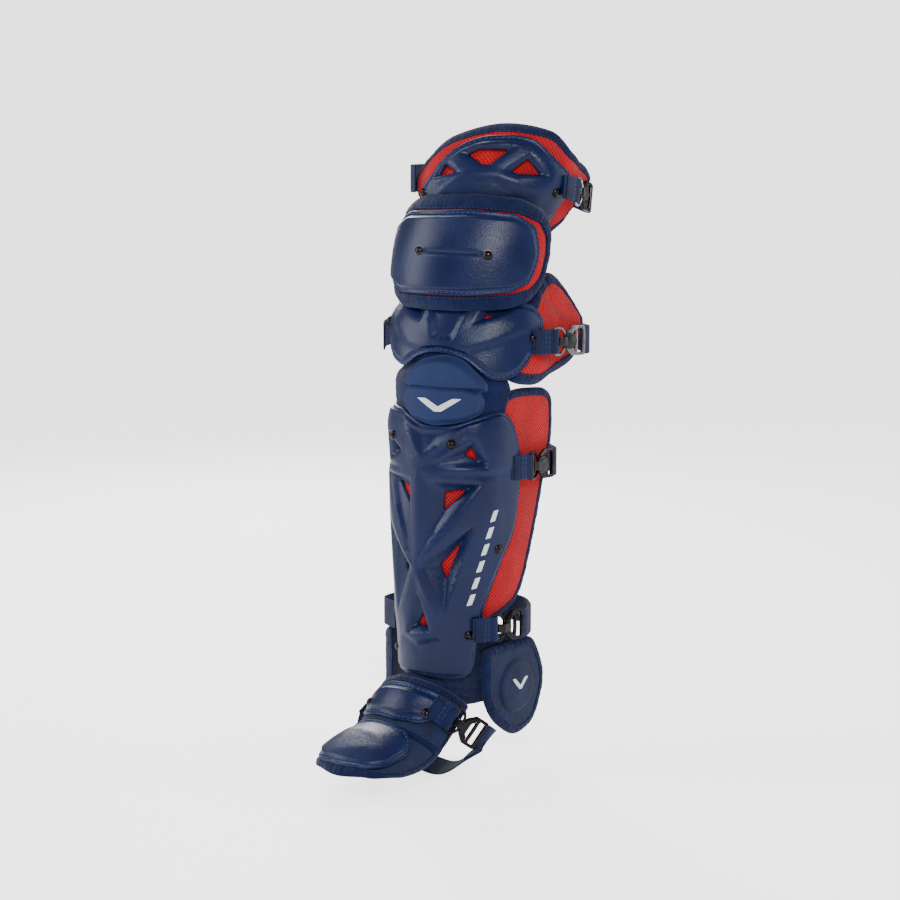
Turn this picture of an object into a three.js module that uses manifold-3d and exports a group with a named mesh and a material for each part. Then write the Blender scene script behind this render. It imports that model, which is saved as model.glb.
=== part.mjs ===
// Leg guard for a catcher's left leg: jointed moulded shells on foam pads, buckled round the
// back of the leg by five elastic straps. Millimetres, +Z up, front of the leg at -Y, and the
// outer side, where the straps clip, at +X.
import * as THREE from 'three';
import { mergeVertices } from 'three/addons/utils/BufferGeometryUtils.js';
import Module from 'manifold-3d';

const wasm = await Module();
wasm.setup();

// ---- Driving dimensions, in millimetres and degrees ----

const SHELL = 3;            // moulded shell thickness
const PAD = 8;              // foam pad thickness
const KNEECAP_PAD = 6;      // the kneecap's pad is thinner, because it laps over its neighbours
const GAP = 0.4;            // clearance kept between pieces that touch
const SKIN_GAP = 1;         // clearance between a curved shell and the pad behind it
const REST_Y = -43;         // flat back of the shin foam, which lies on the shin
const REST_Z = 215;
const STRAP_WIDTH = 28;
const STRAP_THICKNESS = 2.4;
const RIVET_RADIUS = 4.5;
const RIVET_HEIGHT = 2.6;
const KNEE_YAW = 13;        // the knee sections turn towards the outer side
const THIGH_YAW = 23;

// Lean of the leg's axis: how far back it lies at each height.
const LEAN = curve([[340, 0], [390, 6], [430, 13], [509, 30], [575, 52], [634, 78]]);

const MATERIALS = {
  shell: { color: 0x243458, roughness: 0.42, metalness: 0 },
  red_mesh: { color: 0xeb1e32, roughness: 0.85, metalness: 0 },
  navy_mesh: { color: 0x263860, roughness: 0.85, metalness: 0 },
  foam: { color: 0x39496a, roughness: 0.8, metalness: 0 },
  webbing: { color: 0x1c305f, roughness: 0.9, metalness: 0 },
  chrome: { color: 0xc8ccd2, roughness: 0.2, metalness: 1 },
  gunmetal: { color: 0x5a5c62, roughness: 0.35, metalness: 1 },
};

// ---- Small tools ----

function radians(degrees) {
  return THREE.MathUtils.degToRad(degrees);
}

function mix(a, b, t) {
  return a + (b - a) * t;
}

// Smooth curve through a few [x, y] points, with no overshoot, held level past both ends.
function curve(points) {
  const last = points.length - 1;
  const secant = i => (points[i + 1][1] - points[i][1]) / (points[i + 1][0] - points[i][0]);
  const slope = i => {
    const before = secant(Math.max(i - 1, 0));
    const after = secant(Math.min(i, last - 1));
    return before * after > 0 ? 2 * before * after / (before + after) : 0;
  };
  return x => {
    if (x <= points[0][0]) return points[0][1];
    if (x >= points[last][0]) return points[last][1];
    const i = points.findIndex(point => x < point[0]) - 1;
    const [x0, y0] = points[i];
    const [x1, y1] = points[i + 1];
    const span = x1 - x0;
    const t = (x - x0) / span;
    const rise = t * t * (3 - 2 * t);
    const start = t * (1 - t) * (1 - t) * span * slope(i);
    const end = t * t * (t - 1) * span * slope(i + 1);
    return mix(y0, y1, rise) + start + end;
  };
}

function mirrored(x) {
  return point => new THREE.Vector3(x * point.x, point.y, point.z);
}

// Geometry from corner points and faces, turned face out if it came inside out.
function closed(points, faces) {
  const positions = points.flatMap(p => [p.x, p.y, p.z]);
  const volume = faces.reduce((sum, [a, b, c]) => {
    const normal = new THREE.Vector3().crossVectors(points[b], points[c]);
    return sum + points[a].dot(normal);
  }, 0);
  const index = faces.flatMap(([a, b, c]) => (volume > 0 ? [a, b, c] : [a, c, b]));
  const geometry = new THREE.BufferGeometry();
  geometry.setAttribute('position', new THREE.Float32BufferAttribute(positions, 3));
  geometry.setIndex(index);
  geometry.computeVertexNormals();
  return geometry;
}

// Closed slab between two sheets: point(layer, u, v) with u and v from 0 to 1.
function slab(point, across, along) {
  const points = [];
  const at = (layer, i, j) => (layer * (along + 1) + j) * (across + 1) + i;
  for (let layer = 0; layer < 2; layer++) {
    for (let j = 0; j <= along; j++) {
      for (let i = 0; i <= across; i++) points.push(point(layer, i / across, j / along));
    }
  }
  const faces = [];
  const quad = (a, b, c, d) => faces.push([a, b, c], [a, c, d]);
  for (let j = 0; j < along; j++) {
    for (let i = 0; i < across; i++) {
      quad(at(1, i, j), at(1, i + 1, j), at(1, i + 1, j + 1), at(1, i, j + 1));
      quad(at(0, i, j), at(0, i, j + 1), at(0, i + 1, j + 1), at(0, i + 1, j));
    }
    quad(at(0, 0, j), at(1, 0, j), at(1, 0, j + 1), at(0, 0, j + 1));
    quad(at(0, across, j), at(0, across, j + 1), at(1, across, j + 1), at(1, across, j));
  }
  for (let i = 0; i < across; i++) {
    quad(at(0, i, 0), at(0, i + 1, 0), at(1, i + 1, 0), at(1, i, 0));
    quad(at(0, i, along), at(1, i, along), at(1, i + 1, along), at(0, i + 1, along));
  }
  return closed(points, faces);
}

// Pad or shell on a surface. left and right give the side edges at t from 0 at the bottom to
// 1 at the top; bottom and top give the end edges at s from -1 to 1; round pulls the corners in.
function patch(surface, { left, right, bottom, top, inner, outer, round = 0, crown = 0, grid }) {
  return slab((layer, u, v) => {
    const a = 2 * u - 1;
    const b = 2 * v - 1;
    const s = a * Math.sqrt(1 - round * b * b);
    const t = (1 + b * Math.sqrt(1 - round * a * a)) / 2;
    const edge = (1 - a * a) * (1 - b * b);
    const offset = layer ? outer + crown * edge : inner;
    return surface(mix(left(t), right(t), (s + 1) / 2), mix(bottom(s), top(s), t), offset);
  }, grid[0], grid[1]);
}

// Band of constant width along a smooth path, lying flat against the across direction.
function band(path, width, thickness, across, steps) {
  const rings = [];
  for (let i = 0; i <= steps; i++) {
    const centre = path.getPoint(i / steps);
    const tangent = path.getTangent(i / steps);
    const side = new THREE.Vector3().crossVectors(tangent, across).normalize();
    const up = new THREE.Vector3().crossVectors(side, tangent).normalize();
    rings.push([[-1, -1], [1, -1], [1, 1], [-1, 1]].map(([a, b]) => centre.clone()
      .addScaledVector(up, a * width / 2)
      .addScaledVector(side, b * thickness / 2)));
  }
  return sweep(rings, false);
}

// Skin over a row of rings of points, capped at both ends or joined into a loop.
function sweep(rings, loop) {
  const sides = rings[0].length;
  const count = rings.length;
  const at = (i, k) => (i % count) * sides + (k % sides);
  const faces = [];
  for (let i = 0; i < (loop ? count : count - 1); i++) {
    for (let k = 0; k < sides; k++) {
      faces.push([at(i, k), at(i, k + 1), at(i + 1, k + 1)]);
      faces.push([at(i, k), at(i + 1, k + 1), at(i + 1, k)]);
    }
  }
  for (let k = 1; !loop && k < sides - 1; k++) {
    faces.push([at(0, 0), at(0, k + 1), at(0, k)]);
    faces.push([at(count - 1, 0), at(count - 1, k), at(count - 1, k + 1)]);
  }
  return closed(rings.flat(), faces);
}

function solid(geometry) {
  const bare = new THREE.BufferGeometry();
  bare.setAttribute('position', geometry.getAttribute('position').clone());
  if (geometry.index) bare.setIndex(geometry.index.clone());
  const merged = mergeVertices(bare, 1e-4);
  return new wasm.Manifold(new wasm.Mesh({
    numProp: 3,
    vertProperties: new Float32Array(merged.getAttribute('position').array),
    triVerts: new Uint32Array(merged.index.array),
  }));
}

function geometryOf(manifold) {
  const mesh = manifold.getMesh();
  const geometry = new THREE.BufferGeometry();
  geometry.setAttribute('position', new THREE.BufferAttribute(mesh.vertProperties, 3));
  geometry.setIndex(new THREE.BufferAttribute(mesh.triVerts, 1));
  geometry.computeVertexNormals();
  return geometry;
}

function cut(geometry, tools) {
  return geometryOf(tools.reduce((body, tool) => body.subtract(solid(tool)), solid(geometry)));
}

function join(pieces) {
  return geometryOf(pieces.map(solid).reduce((a, b) => a.add(b)));
}

// ---- The tree of named pieces ----

const guard = new THREE.Group();
const legFrame = new THREE.Group();
legFrame.position.set(0, -REST_Y, -REST_Z);
guard.add(legFrame);

function piece(name, material, geometry, parent = legFrame) {
  const mesh = new THREE.Mesh(geometry, new THREE.MeshStandardMaterial(MATERIALS[material]));
  mesh.name = name;
  parent.add(mesh);
  return mesh;
}

// ---- Surfaces round the leg ----

// Half sleeve: an ellipse over the front, then straight back past 90 degrees, where the sides
// may flare out. Angle 0 is the front and positive angles go to the outer side.
function sleeve({ width, depth, yaw = 0, forward = 0, flare = () => 0 }) {
  const turn = radians(yaw);
  return (angle, z, offset) => {
    const side = Math.sign(angle) || 1;
    const theta = radians(Math.min(Math.abs(angle), 90));
    const behind = radians(Math.max(Math.abs(angle) - 90, 0));
    const x = side * ((width(z) + offset) * Math.sin(theta) + flare(Math.abs(angle), z));
    const y = -(depth(z) + offset) * Math.cos(theta) + depth(z) * behind;
    return new THREE.Vector3(
      x * Math.cos(turn) - y * Math.sin(turn),
      x * Math.sin(turn) + y * Math.cos(turn) + LEAN(z) - forward,
      z,
    );
  };
}

// How far the knee wings flare, by angle, and what share of that is left near their top.
const FLARE_OUT = curve([[55, 0], [80, 4], [105, 10], [140, 13]]);
const FLARE_SHARE = curve([[440, 1], [486, 0.55]]);

const shin = sleeve({
  width: curve([[84, 53], [160, 58], [260, 64], [350, 67]]),
  depth: curve([[84, 68], [200, 65], [350, 64]]),
  flare: curve([[80, 0], [110, 2], [140, 4]]),
});
const knee = sleeve({
  width: curve([[372, 76], [400, 80], [436, 79], [456, 71], [486, 64]]),
  depth: curve([[372, 60], [400, 58], [440, 54], [462, 47], [486, 42]]),
  yaw: KNEE_YAW,
  flare: (angle, z) => FLARE_OUT(angle) * FLARE_SHARE(z),
});
const kneecap = sleeve({
  width: curve([[452, 77], [480, 81], [509, 82], [538, 81], [566, 77]]),
  depth: curve([[452, 57], [480, 61], [509, 62], [538, 61], [566, 57]]),
  yaw: KNEE_YAW,
  forward: 4,
});
const thigh = sleeve({
  width: curve([[505, 54], [545, 63], [580, 78], [615, 78], [636, 74]]),
  depth: curve([[505, 32], [545, 38], [580, 46], [615, 44], [636, 38]]),
  yaw: THIGH_YAW,
  flare: curve([[60, 0], [100, 7], [130, 10]]),
});

// Over the shoe: the ridge runs down from the ankle to the toe, and an arch drops from it to
// both sides. Angle 0 is the ridge; y is how far forward.
const RIDGE = curve([[-200, 18], [-187, 29], [-156, 42], [-128, 51], [-112, 62], [-86, 90],
  [-76, 100]]);
const ARCH = curve([[-200, 18], [-160, 28], [-118, 40], [-86, 48]]);
const FOOT_HALF_WIDTH = curve([[-200, 40], [-185, 50], [-140, 54], [-80, 54]]);

function foot(angle, y, offset) {
  const phi = radians(angle);
  const slope = Math.atan((RIDGE(y + 2) - RIDGE(y - 2)) / 4);
  const rise = (ARCH(y) + offset) * Math.cos(phi) - ARCH(y);
  return new THREE.Vector3(
    (FOOT_HALF_WIDTH(y) + offset) * Math.sin(phi),
    y - rise * Math.sin(slope),
    RIDGE(y) + rise * Math.cos(slope),
  );
}

// ---- Holes through a shell ----

// Straight-sided plug through a shell, over corners given as [angle, z].
function plug(surface, corners) {
  const depthIn = -7;
  const depthOut = 12;
  const ring = offset => corners.map(([angle, z]) => surface(angle, z, offset));
  return sweep([ring(depthIn), ring(depthOut)], false);
}

// ---- Rivets ----

const RIVET_PROFILE = [[0, 0], [1, 0], [1, 0.35], [0.72, 0.82], [0, 1]].map(
  ([r, h]) => new THREE.Vector2(r * RIVET_RADIUS, h * RIVET_HEIGHT),
);

function rivet(name, surface, angle, z, offset) {
  const step = 2;
  const seat = surface(angle, z, offset + GAP);
  const across = surface(angle + step, z, offset).sub(surface(angle - step, z, offset));
  const up = surface(angle, z + step, offset).sub(surface(angle, z - step, offset));
  const normal = across.cross(up).normalize();
  const mesh = piece(name, 'gunmetal', new THREE.LatheGeometry(RIVET_PROFILE, 10));
  mesh.position.copy(seat);
  mesh.quaternion.setFromUnitVectors(new THREE.Vector3(0, 1, 0), normal);
}

// ---- Shin ----

const SHIN_LEFT = curve([[0, -52], [0.15, -54], [0.3, -60], [0.5, -72], [0.7, -84], [1, -88]]);
const SHIN_RIGHT = curve([[0, 56], [0.15, 58], [0.3, 63], [0.5, 77], [0.7, 93], [1, 98]]);
const SHIN_HOLES = [
  [[-58, 300], [-50, 290], [-50, 312]],
  [[-46, 268], [-12, 258], [-14, 238]],
  [[40, 320], [52, 330], [58, 314]],
  [[16, 268], [46, 270], [18, 245]],
  [[44, 216], [14, 188], [24, 170]],
  [[-44, 214], [-16, 188], [-22, 172]],
  [[-18, 130], [2, 146], [14, 132]],
];
const SHIN_RIVETS = [[-30, 328], [30, 324], [88, 297], [72, 219], [49, 135], [-44, 112]];

function makeShin() {
  const shell = patch(shin, {
    left: SHIN_LEFT,
    right: SHIN_RIGHT,
    bottom: curve([[-1, 100], [-0.85, 92], [0, 92], [0.85, 91], [1, 99]]),
    top: curve([[-1, 306], [-0.85, 342], [-0.6, 356], [-0.3, 355], [0, 342], [0.2, 341],
      [0.5, 350], [0.7, 355], [0.87, 342], [1, 306]]),
    inner: 0,
    outer: SHELL,
    grid: [22, 12],
  });
  piece('shin_shell', 'shell', cut(shell, SHIN_HOLES.map(hole => plug(shin, hole))));
  piece('shin_liner', 'red_mesh', patch(shin, {
    left: curve([[0, -66], [0.35, -88], [0.8, -122], [1, -124]]),
    right: curve([[0, 104], [0.1, 114], [0.35, 126], [0.6, 136], [0.85, 146], [1, 142]]),
    bottom: curve([[-1, 150], [-0.7, 131], [0.3, 131], [0.7, 146], [1, 158]]),
    top: curve([[-1, 362], [-0.8, 374], [-0.6, 370], [-0.4, 350], [0.36, 350], [0.5, 366],
      [0.65, 370], [0.9, 368], [1, 360]]),
    inner: -PAD,
    outer: -SKIN_GAP,
    grid: [24, 10],
  }));
  piece('shin_foam', 'foam', shinFoam());
  SHIN_RIVETS.forEach(([angle, z], i) => rivet(`shin_rivet_${i + 1}`, shin, angle, z, SHELL));
}

// Foam block behind the liner, with the flat back that lies along the shin bone.
function shinFoam() {
  const halfAngle = 27;
  return slab((layer, u, v) => {
    const z = mix(138, 336, v);
    const front = shin(mix(-halfAngle, halfAngle, u), z, -PAD - SKIN_GAP);
    return layer ? front : new THREE.Vector3(front.x, REST_Y, z);
  }, 6, 4);
}

// ---- Flexing panel and cushions below the knee ----

function makeFlex() {
  const cushion = (name, surface, middle, halfAngle, low, high, offset, crown) => {
    piece(name, 'foam', patch(surface, {
      left: () => middle - halfAngle,
      right: () => middle + halfAngle,
      bottom: curve([[-1, low + 8], [0, low], [1, low + 8]]),
      top: curve([[-1, high - 6], [0, high], [1, high - 6]]),
      inner: offset,
      outer: offset + 7,
      round: 0.25,
      crown,
      grid: [10, 4],
    }));
  };
  cushion('flex_lower_cushion', shin, 18, 38, 336, 364, SHELL + GAP, 6);
  cushion('flex_upper_cushion', knee, 1, 27, 371, 400, 4, 3);
  piece('flex_panel', 'navy_mesh', patch(shin, {
    left: () => -38,
    right: () => 48,
    bottom: () => 352,
    top: () => 378,
    inner: -PAD,
    outer: -PAD + 4,
    grid: [10, 2],
  }));
}

// ---- Knee wing ----

const KNEE_HOLES = [
  [[-38, 445], [-34, 462], [-24, 458]],
  [[26, 440], [32, 452], [52, 454]],
];

function makeKnee() {
  const shell = patch(knee, {
    left: curve([[0, -52], [0.25, -72], [0.6, -80], [1, -66]]),
    right: curve([[0, 56], [0.25, 76], [0.6, 87], [1, 70]]),
    bottom: curve([[-1, 404], [-0.75, 388], [-0.55, 390], [-0.25, 404], [0, 410], [0.25, 404],
      [0.55, 386], [0.75, 386], [1, 404]]),
    top: curve([[-1, 454], [0, 458], [1, 454]]),
    inner: 0,
    outer: SHELL,
    grid: [20, 7],
  });
  piece('knee_shell', 'shell', cut(shell, KNEE_HOLES.map(hole => plug(knee, hole))));
  piece('knee_pad', 'red_mesh', patch(knee, {
    left: curve([[0, -74], [0.2, -100], [0.6, -124], [1, -104]]),
    right: curve([[0, 104], [0.15, 134], [0.4, 148], [0.75, 148], [1, 128]]),
    bottom: curve([[-1, 393], [-0.8, 384], [0, 387], [0.7, 383], [1, 391]]),
    top: curve([[-1, 468], [-0.88, 478], [-0.68, 456], [0.68, 456], [0.88, 482], [1, 472]]),
    inner: -PAD,
    outer: -SKIN_GAP,
    grid: [24, 6],
  }));
  rivet('knee_rivet_inner', knee, -68, 437, SHELL);
  rivet('knee_rivet_outer', knee, 69, 425, SHELL);
}

// ---- Kneecap ----

function makeKneecap() {
  piece('kneecap_pad', 'red_mesh', patch(kneecap, {
    left: () => -94,
    right: () => 94,
    bottom: () => 453,
    top: () => 563,
    inner: -KNEECAP_PAD,
    outer: -SKIN_GAP,
    round: 0.3,
    grid: [20, 8],
  }));
  piece('kneecap_shell', 'shell', patch(kneecap, {
    left: () => -84,
    right: () => 84,
    bottom: () => 464,
    top: () => 552,
    inner: 0,
    outer: SHELL,
    round: 0.25,
    grid: [18, 7],
  }));
  rivet('kneecap_rivet_inner', kneecap, -27, 509, SHELL);
  rivet('kneecap_rivet_outer', kneecap, 25, 509, SHELL);
}

// ---- Thigh ----

const THIGH_HOLES = [
  [[-20, 606], [-8, 590], [8, 590], [16, 607]],
  [[-43, 580], [-33, 594], [-22, 584]],
  [[16, 584], [30, 599], [46, 581]],
];

function makeThigh() {
  const shell = patch(thigh, {
    left: curve([[0, -50], [0.35, -68], [0.6, -76], [1, -50]]),
    right: curve([[0, 58], [0.35, 74], [0.6, 82], [1, 50]]),
    bottom: curve([[-1, 536], [0, 530], [1, 534]]),
    top: curve([[-1, 596], [-0.6, 612], [0, 620], [0.6, 613], [1, 597]]),
    inner: 0,
    outer: SHELL,
    grid: [18, 7],
  });
  piece('thigh_shell', 'shell', cut(shell, THIGH_HOLES.map(hole => plug(thigh, hole))));
  piece('thigh_pad', 'red_mesh', patch(thigh, {
    left: curve([[0, -74], [0.3, -96], [0.65, -104], [1, -72]]),
    right: curve([[0, 100], [0.3, 128], [0.65, 122], [1, 76]]),
    bottom: curve([[-1, 524], [-0.6, 514], [0, 518], [0.6, 512], [1, 524]]),
    top: curve([[-1, 598], [-0.6, 620], [0, 632], [0.6, 624], [1, 604]]),
    inner: -PAD,
    outer: -SKIN_GAP,
    grid: [22, 7],
  }));
  rivet('thigh_rivet_inner', thigh, -52, 565, SHELL);
  rivet('thigh_rivet_outer', thigh, 56, 565, SHELL);
}

// ---- Ankle ----

const FLAP_HINGE_X = 49;
const FLAP_HINGE_Y = -34;

// Side flap over the ankle bone. along runs from the hinge to the rear.
function ankleFlap(side) {
  const place = mirrored(side);
  const lean = 0.12;
  return (along, z, offset) => place(new THREE.Vector3(
    FLAP_HINGE_X + along * lean + offset,
    FLAP_HINGE_Y + along,
    z,
  ));
}

function makeAnkle() {
  piece('ankle_skirt', 'navy_mesh', patch(shin, {
    left: () => -60,
    right: () => 60,
    bottom: curve([[-1, 78], [0, 70], [1, 78]]),
    top: curve([[-1, 129], [1, 129]]),
    inner: -PAD,
    outer: -GAP,
    grid: [14, 3],
  }));
  for (const [name, side] of [['inner', -1], ['outer', 1]]) {
    const surface = ankleFlap(side);
    piece(`ankle_flap_${name}`, 'navy_mesh', patch(surface, {
      left: curve([[0, 14], [0.4, 1], [1, 1]]),
      right: curve([[0, 74], [0.5, 88], [1, 72]]),
      bottom: curve([[-1, 44], [0.1, 24], [1, 34]]),
      top: curve([[-1, 118], [1, 122]]),
      inner: 0,
      outer: PAD,
      round: 0.28,
      grid: [8, 6],
    }));
    piece(`ankle_boss_${name}`, 'foam', patch(surface, {
      left: () => 20,
      right: () => 68,
      bottom: () => 48,
      top: () => 102,
      inner: PAD + GAP,
      outer: PAD + 3,
      round: 0.5,
      crown: 4,
      grid: [6, 6],
    }));
  }
}

// ---- Foot ----

const PLATE_JOIN = -117;

function makeFoot() {
  const section = (name, back, front, padAngle, plateAngle, roundness) => {
    piece(`${name}_pad`, 'navy_mesh', patch(foot, {
      left: () => -padAngle,
      right: () => padAngle,
      bottom: () => front,
      top: () => back,
      inner: -PAD,
      outer: -2 * SKIN_GAP,
      round: roundness,
      grid: [12, 5],
    }));
    piece(`${name}_shell`, 'shell', patch(foot, {
      left: () => -plateAngle,
      right: () => plateAngle,
      bottom: () => front + 9,
      top: () => back - 4,
      inner: 0,
      outer: SHELL,
      round: 0.15,
      crown: 4,
      grid: [10, 5],
    }));
  };
  section('instep', -84, PLATE_JOIN + 1, 82, 48, 0);
  section('toe', PLATE_JOIN - 2, -197, 84, 54, 0.12);
  rivet('foot_rivet_inner', foot, -38, -104, SHELL + 2);
  rivet('foot_rivet_outer', foot, 38, -104, SHELL + 2);
}

// ---- Strap clips ----

const RING_WIRE = 1.6;
const RING_HALF = 13;
const RING_REACH = 12;
const TAB_WIDTH = 24;
const HOOK_START = RING_REACH + RING_WIRE + 0.6;
const HOOK_LENGTH = 30;
const HOOK_PLATE = 2.6;
const STRAP_START = HOOK_START + HOOK_LENGTH + 3;

// D-ring: a straight bar on the hinge line with a half-round bow behind it.
function ringShape() {
  const stations = [];
  const bowSteps = 9;
  for (let i = 0; i <= bowSteps; i++) {
    const turn = Math.PI * i / bowSteps;
    stations.push([RING_REACH * Math.sin(turn), RING_HALF * Math.cos(turn)]);
  }
  for (const share of [-0.4, 0.4]) stations.push([0, RING_HALF * share]);
  const count = stations.length;
  const rings = stations.map(([x, y], i) => {
    const [nextX, nextY] = stations[(i + 1) % count];
    const [lastX, lastY] = stations[(i + count - 1) % count];
    const tangent = new THREE.Vector3(nextX - lastX, nextY - lastY, 0).normalize();
    const sideways = new THREE.Vector3(tangent.y, -tangent.x, 0);
    return [0, 1, 2, 3, 4, 5].map(k => {
      const turn = Math.PI * k / 3;
      return new THREE.Vector3(x, y, RING_WIRE * Math.sin(turn))
        .addScaledVector(sideways, RING_WIRE * Math.cos(turn));
    });
  });
  return sweep(rings, true);
}

// Flat hook plate with a slot for the elastic and a nose that laps over the ring's bow.
function hookShape() {
  const half = STRAP_WIDTH / 2;
  const outline = new THREE.Shape([
    new THREE.Vector2(0, -5),
    new THREE.Vector2(7, -half - 2),
    new THREE.Vector2(HOOK_LENGTH, -half - 2),
    new THREE.Vector2(HOOK_LENGTH, half + 2),
    new THREE.Vector2(7, half + 2),
    new THREE.Vector2(0, 5),
  ]);
  const slotStart = 12;
  const slotEnd = HOOK_LENGTH - 4;
  outline.holes.push(new THREE.Path([
    new THREE.Vector2(slotStart, -half),
    new THREE.Vector2(slotStart, half),
    new THREE.Vector2(slotEnd, half),
    new THREE.Vector2(slotEnd, -half),
  ]));
  const plate = new THREE.ExtrudeGeometry(outline, { depth: HOOK_PLATE, bevelEnabled: false });
  plate.translate(0, 0, -HOOK_PLATE / 2);
  const noseLift = RING_WIRE + 0.5;
  const noseThickness = 2;
  const neck = new THREE.BoxGeometry(3, 9, noseLift + noseThickness + HOOK_PLATE / 2);
  neck.translate(1.5, 0, (noseLift + noseThickness - HOOK_PLATE / 2) / 2);
  const nose = new THREE.BoxGeometry(10, 9, noseThickness);
  nose.translate(-2, 0, noseLift + noseThickness / 2);
  const shape = join([plate, neck, nose]);
  shape.translate(HOOK_START, 0, 0);
  return shape;
}

// Frame on a section's surface: x runs back along the strap, y up and z outwards. The clip
// turns out from the surface by out degrees, then tilts in its own plane.
function clipFrame(surface, angle, z, offset, tilt, out) {
  const origin = surface(angle, z, offset);
  const along = surface(angle + 6, z, offset).sub(origin).normalize();
  const outward = new THREE.Vector3().crossVectors(along, new THREE.Vector3(0, 0, 1)).normalize();
  const up = new THREE.Vector3().crossVectors(outward, along);
  const frame = new THREE.Group();
  const axes = new THREE.Matrix4().makeBasis(along, up, outward);
  frame.position.copy(origin);
  frame.quaternion.setFromRotationMatrix(axes);
  frame.rotateY(radians(-out));
  frame.rotateZ(radians(tilt));
  return frame;
}

// The five clips. Each sits on a section at an angle and height; sewn is the angle and height
// on the inner side where its strap is sewn down, and way is the strap's [x, y] route between
// them, or [x, y, z] where it also drops.
const CLIPS = [
  { name: 'thigh_clip', surface: thigh, angle: 92, z: 566, lift: 5, tilt: -12, out: 0,
    way: [[58, 132], [16, 152], [-40, 142], [-86, 102], [-92, 60]], sewn: [-76, 578] },
  { name: 'knee_clip', surface: knee, angle: 86, z: 421, lift: 8, tilt: 0, out: 14,
    way: [[98, 98], [66, 124], [10, 132], [-60, 116], [-106, 62], [-104, 18]],
    sewn: [-70, 421] },
  { name: 'upper_shin_clip', surface: shin, angle: 103, z: 298, lift: 5, tilt: 0, out: 0,
    way: [[72, 86], [42, 100], [0, 102], [-48, 88], [-82, 50], [-83, 6]], sewn: [-66, 298] },
  { name: 'lower_shin_clip', surface: shin, angle: 70, z: 140, lift: 6, tilt: 0, out: 0,
    way: [[70, 48], [44, 68], [0, 76], [-46, 62], [-72, 20], [-69, -16]], sewn: [-44, 140] },
  { name: 'foot_clip', surface: foot, angle: 62, z: -100, lift: 5, tilt: 0, out: 0,
    way: [[44, -58, 4], [0, -56, 1], [-40, -60, 4], [-60, -74, 24]], sewn: [-64, -100] },
];

// Tab, ring, hook and strap of one clip.
function makeClip({ name, surface, angle, z, lift, tilt, out, way, sewn }) {
  const frame = clipFrame(surface, angle, z, SHELL + lift, tilt, out);
  legFrame.add(frame);
  frame.updateMatrix();
  const tab = new THREE.BoxGeometry(14, TAB_WIDTH, STRAP_THICKNESS);
  tab.translate(-9 - RING_WIRE - GAP, 0, 0);
  piece(`${name}_tab`, 'webbing', tab, frame);
  piece(`${name}_ring`, 'chrome', ringShape(), frame);
  piece(`${name}_hook`, 'gunmetal', hookShape(), frame);
  const leaving = [STRAP_START, STRAP_START + 6].map(
    x => new THREE.Vector3(x, 0, 0).applyMatrix4(frame.matrix),
  );
  const sewnDown = [sewn[0] - 9, sewn[0]].map(a => surface(a, sewn[1], SHELL + 2.4));
  const between = way.map(([x, y, height], i) => {
    const share = (i + 1) / way.length;
    return new THREE.Vector3(x, y, height ?? mix(leaving[1].z, sewnDown[0].z, share));
  });
  const across = surface === foot ? new THREE.Vector3(0, 1, 0.25) : new THREE.Vector3(0, 0, 1);
  const path = new THREE.CatmullRomCurve3([...leaving, ...between, ...sewnDown], false);
  piece(`${name}_strap`, 'webbing', band(path, STRAP_WIDTH, STRAP_THICKNESS, across, 26));
}

makeShin();
makeFlex();
makeKnee();
makeKneecap();
makeThigh();
makeAnkle();
makeFoot();
CLIPS.forEach(makeClip);

export default guard;
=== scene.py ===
"""Leg guard for a catcher's left leg: the visual model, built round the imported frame.

Shapes are worked out in design millimetres, with the front of the leg at -Y, the outer side at
+X and Z up, and are placed in metres with the flat back of the shin foam at the origin.
A piece that lies on the leg is drawn flat first, in millimetres across and along, on a surface.
"""

import math

import bpy
import numpy as np
from mathutils import Matrix, Vector
from mathutils.geometry import delaunay_2d_cdt


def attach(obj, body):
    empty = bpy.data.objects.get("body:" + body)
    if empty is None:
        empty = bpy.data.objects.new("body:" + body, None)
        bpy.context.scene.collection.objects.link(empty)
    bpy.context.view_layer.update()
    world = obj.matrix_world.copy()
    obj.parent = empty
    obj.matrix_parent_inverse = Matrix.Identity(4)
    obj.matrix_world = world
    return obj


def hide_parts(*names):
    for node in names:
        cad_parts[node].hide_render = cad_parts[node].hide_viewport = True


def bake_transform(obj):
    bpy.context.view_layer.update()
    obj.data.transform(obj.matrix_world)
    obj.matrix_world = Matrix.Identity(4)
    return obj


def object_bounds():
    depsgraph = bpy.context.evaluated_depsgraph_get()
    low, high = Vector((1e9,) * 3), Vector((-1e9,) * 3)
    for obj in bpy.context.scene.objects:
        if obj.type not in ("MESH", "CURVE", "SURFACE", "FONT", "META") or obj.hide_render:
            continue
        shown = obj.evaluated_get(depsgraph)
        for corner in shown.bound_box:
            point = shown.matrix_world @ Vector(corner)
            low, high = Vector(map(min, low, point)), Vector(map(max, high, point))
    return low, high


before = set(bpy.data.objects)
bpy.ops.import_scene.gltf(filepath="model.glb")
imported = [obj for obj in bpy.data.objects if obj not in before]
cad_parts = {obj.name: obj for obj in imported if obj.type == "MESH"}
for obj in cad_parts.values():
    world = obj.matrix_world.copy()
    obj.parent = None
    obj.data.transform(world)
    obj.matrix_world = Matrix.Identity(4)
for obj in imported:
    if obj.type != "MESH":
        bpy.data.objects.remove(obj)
CAD_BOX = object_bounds()

# ---- Driving dimensions: millimetres and degrees, repeated from the part where they are its own ----

MM = 0.001
REST = np.array([0.0, -43.0, 215.0])    # design point at the frame's origin
KNEE_YAW = 13
THIGH_YAW = 23
PAD_INNER = -8.5          # offset of a pad's inner face from its surface
PAD_UNDER_SHELL = -3.2    # its outer face where a shell lies on it
SHELL_THICKNESS = 2.3
FLANGE = 2.7              # offset of the sewn flange round a shell
STRAP_WIDTH = 28
STRAP_THICKNESS = 1.8
WIRE = 1.5                # radius of a ring's wire
HOOK_END = 37             # far edge of a strap's hook from its ring's bar


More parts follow.
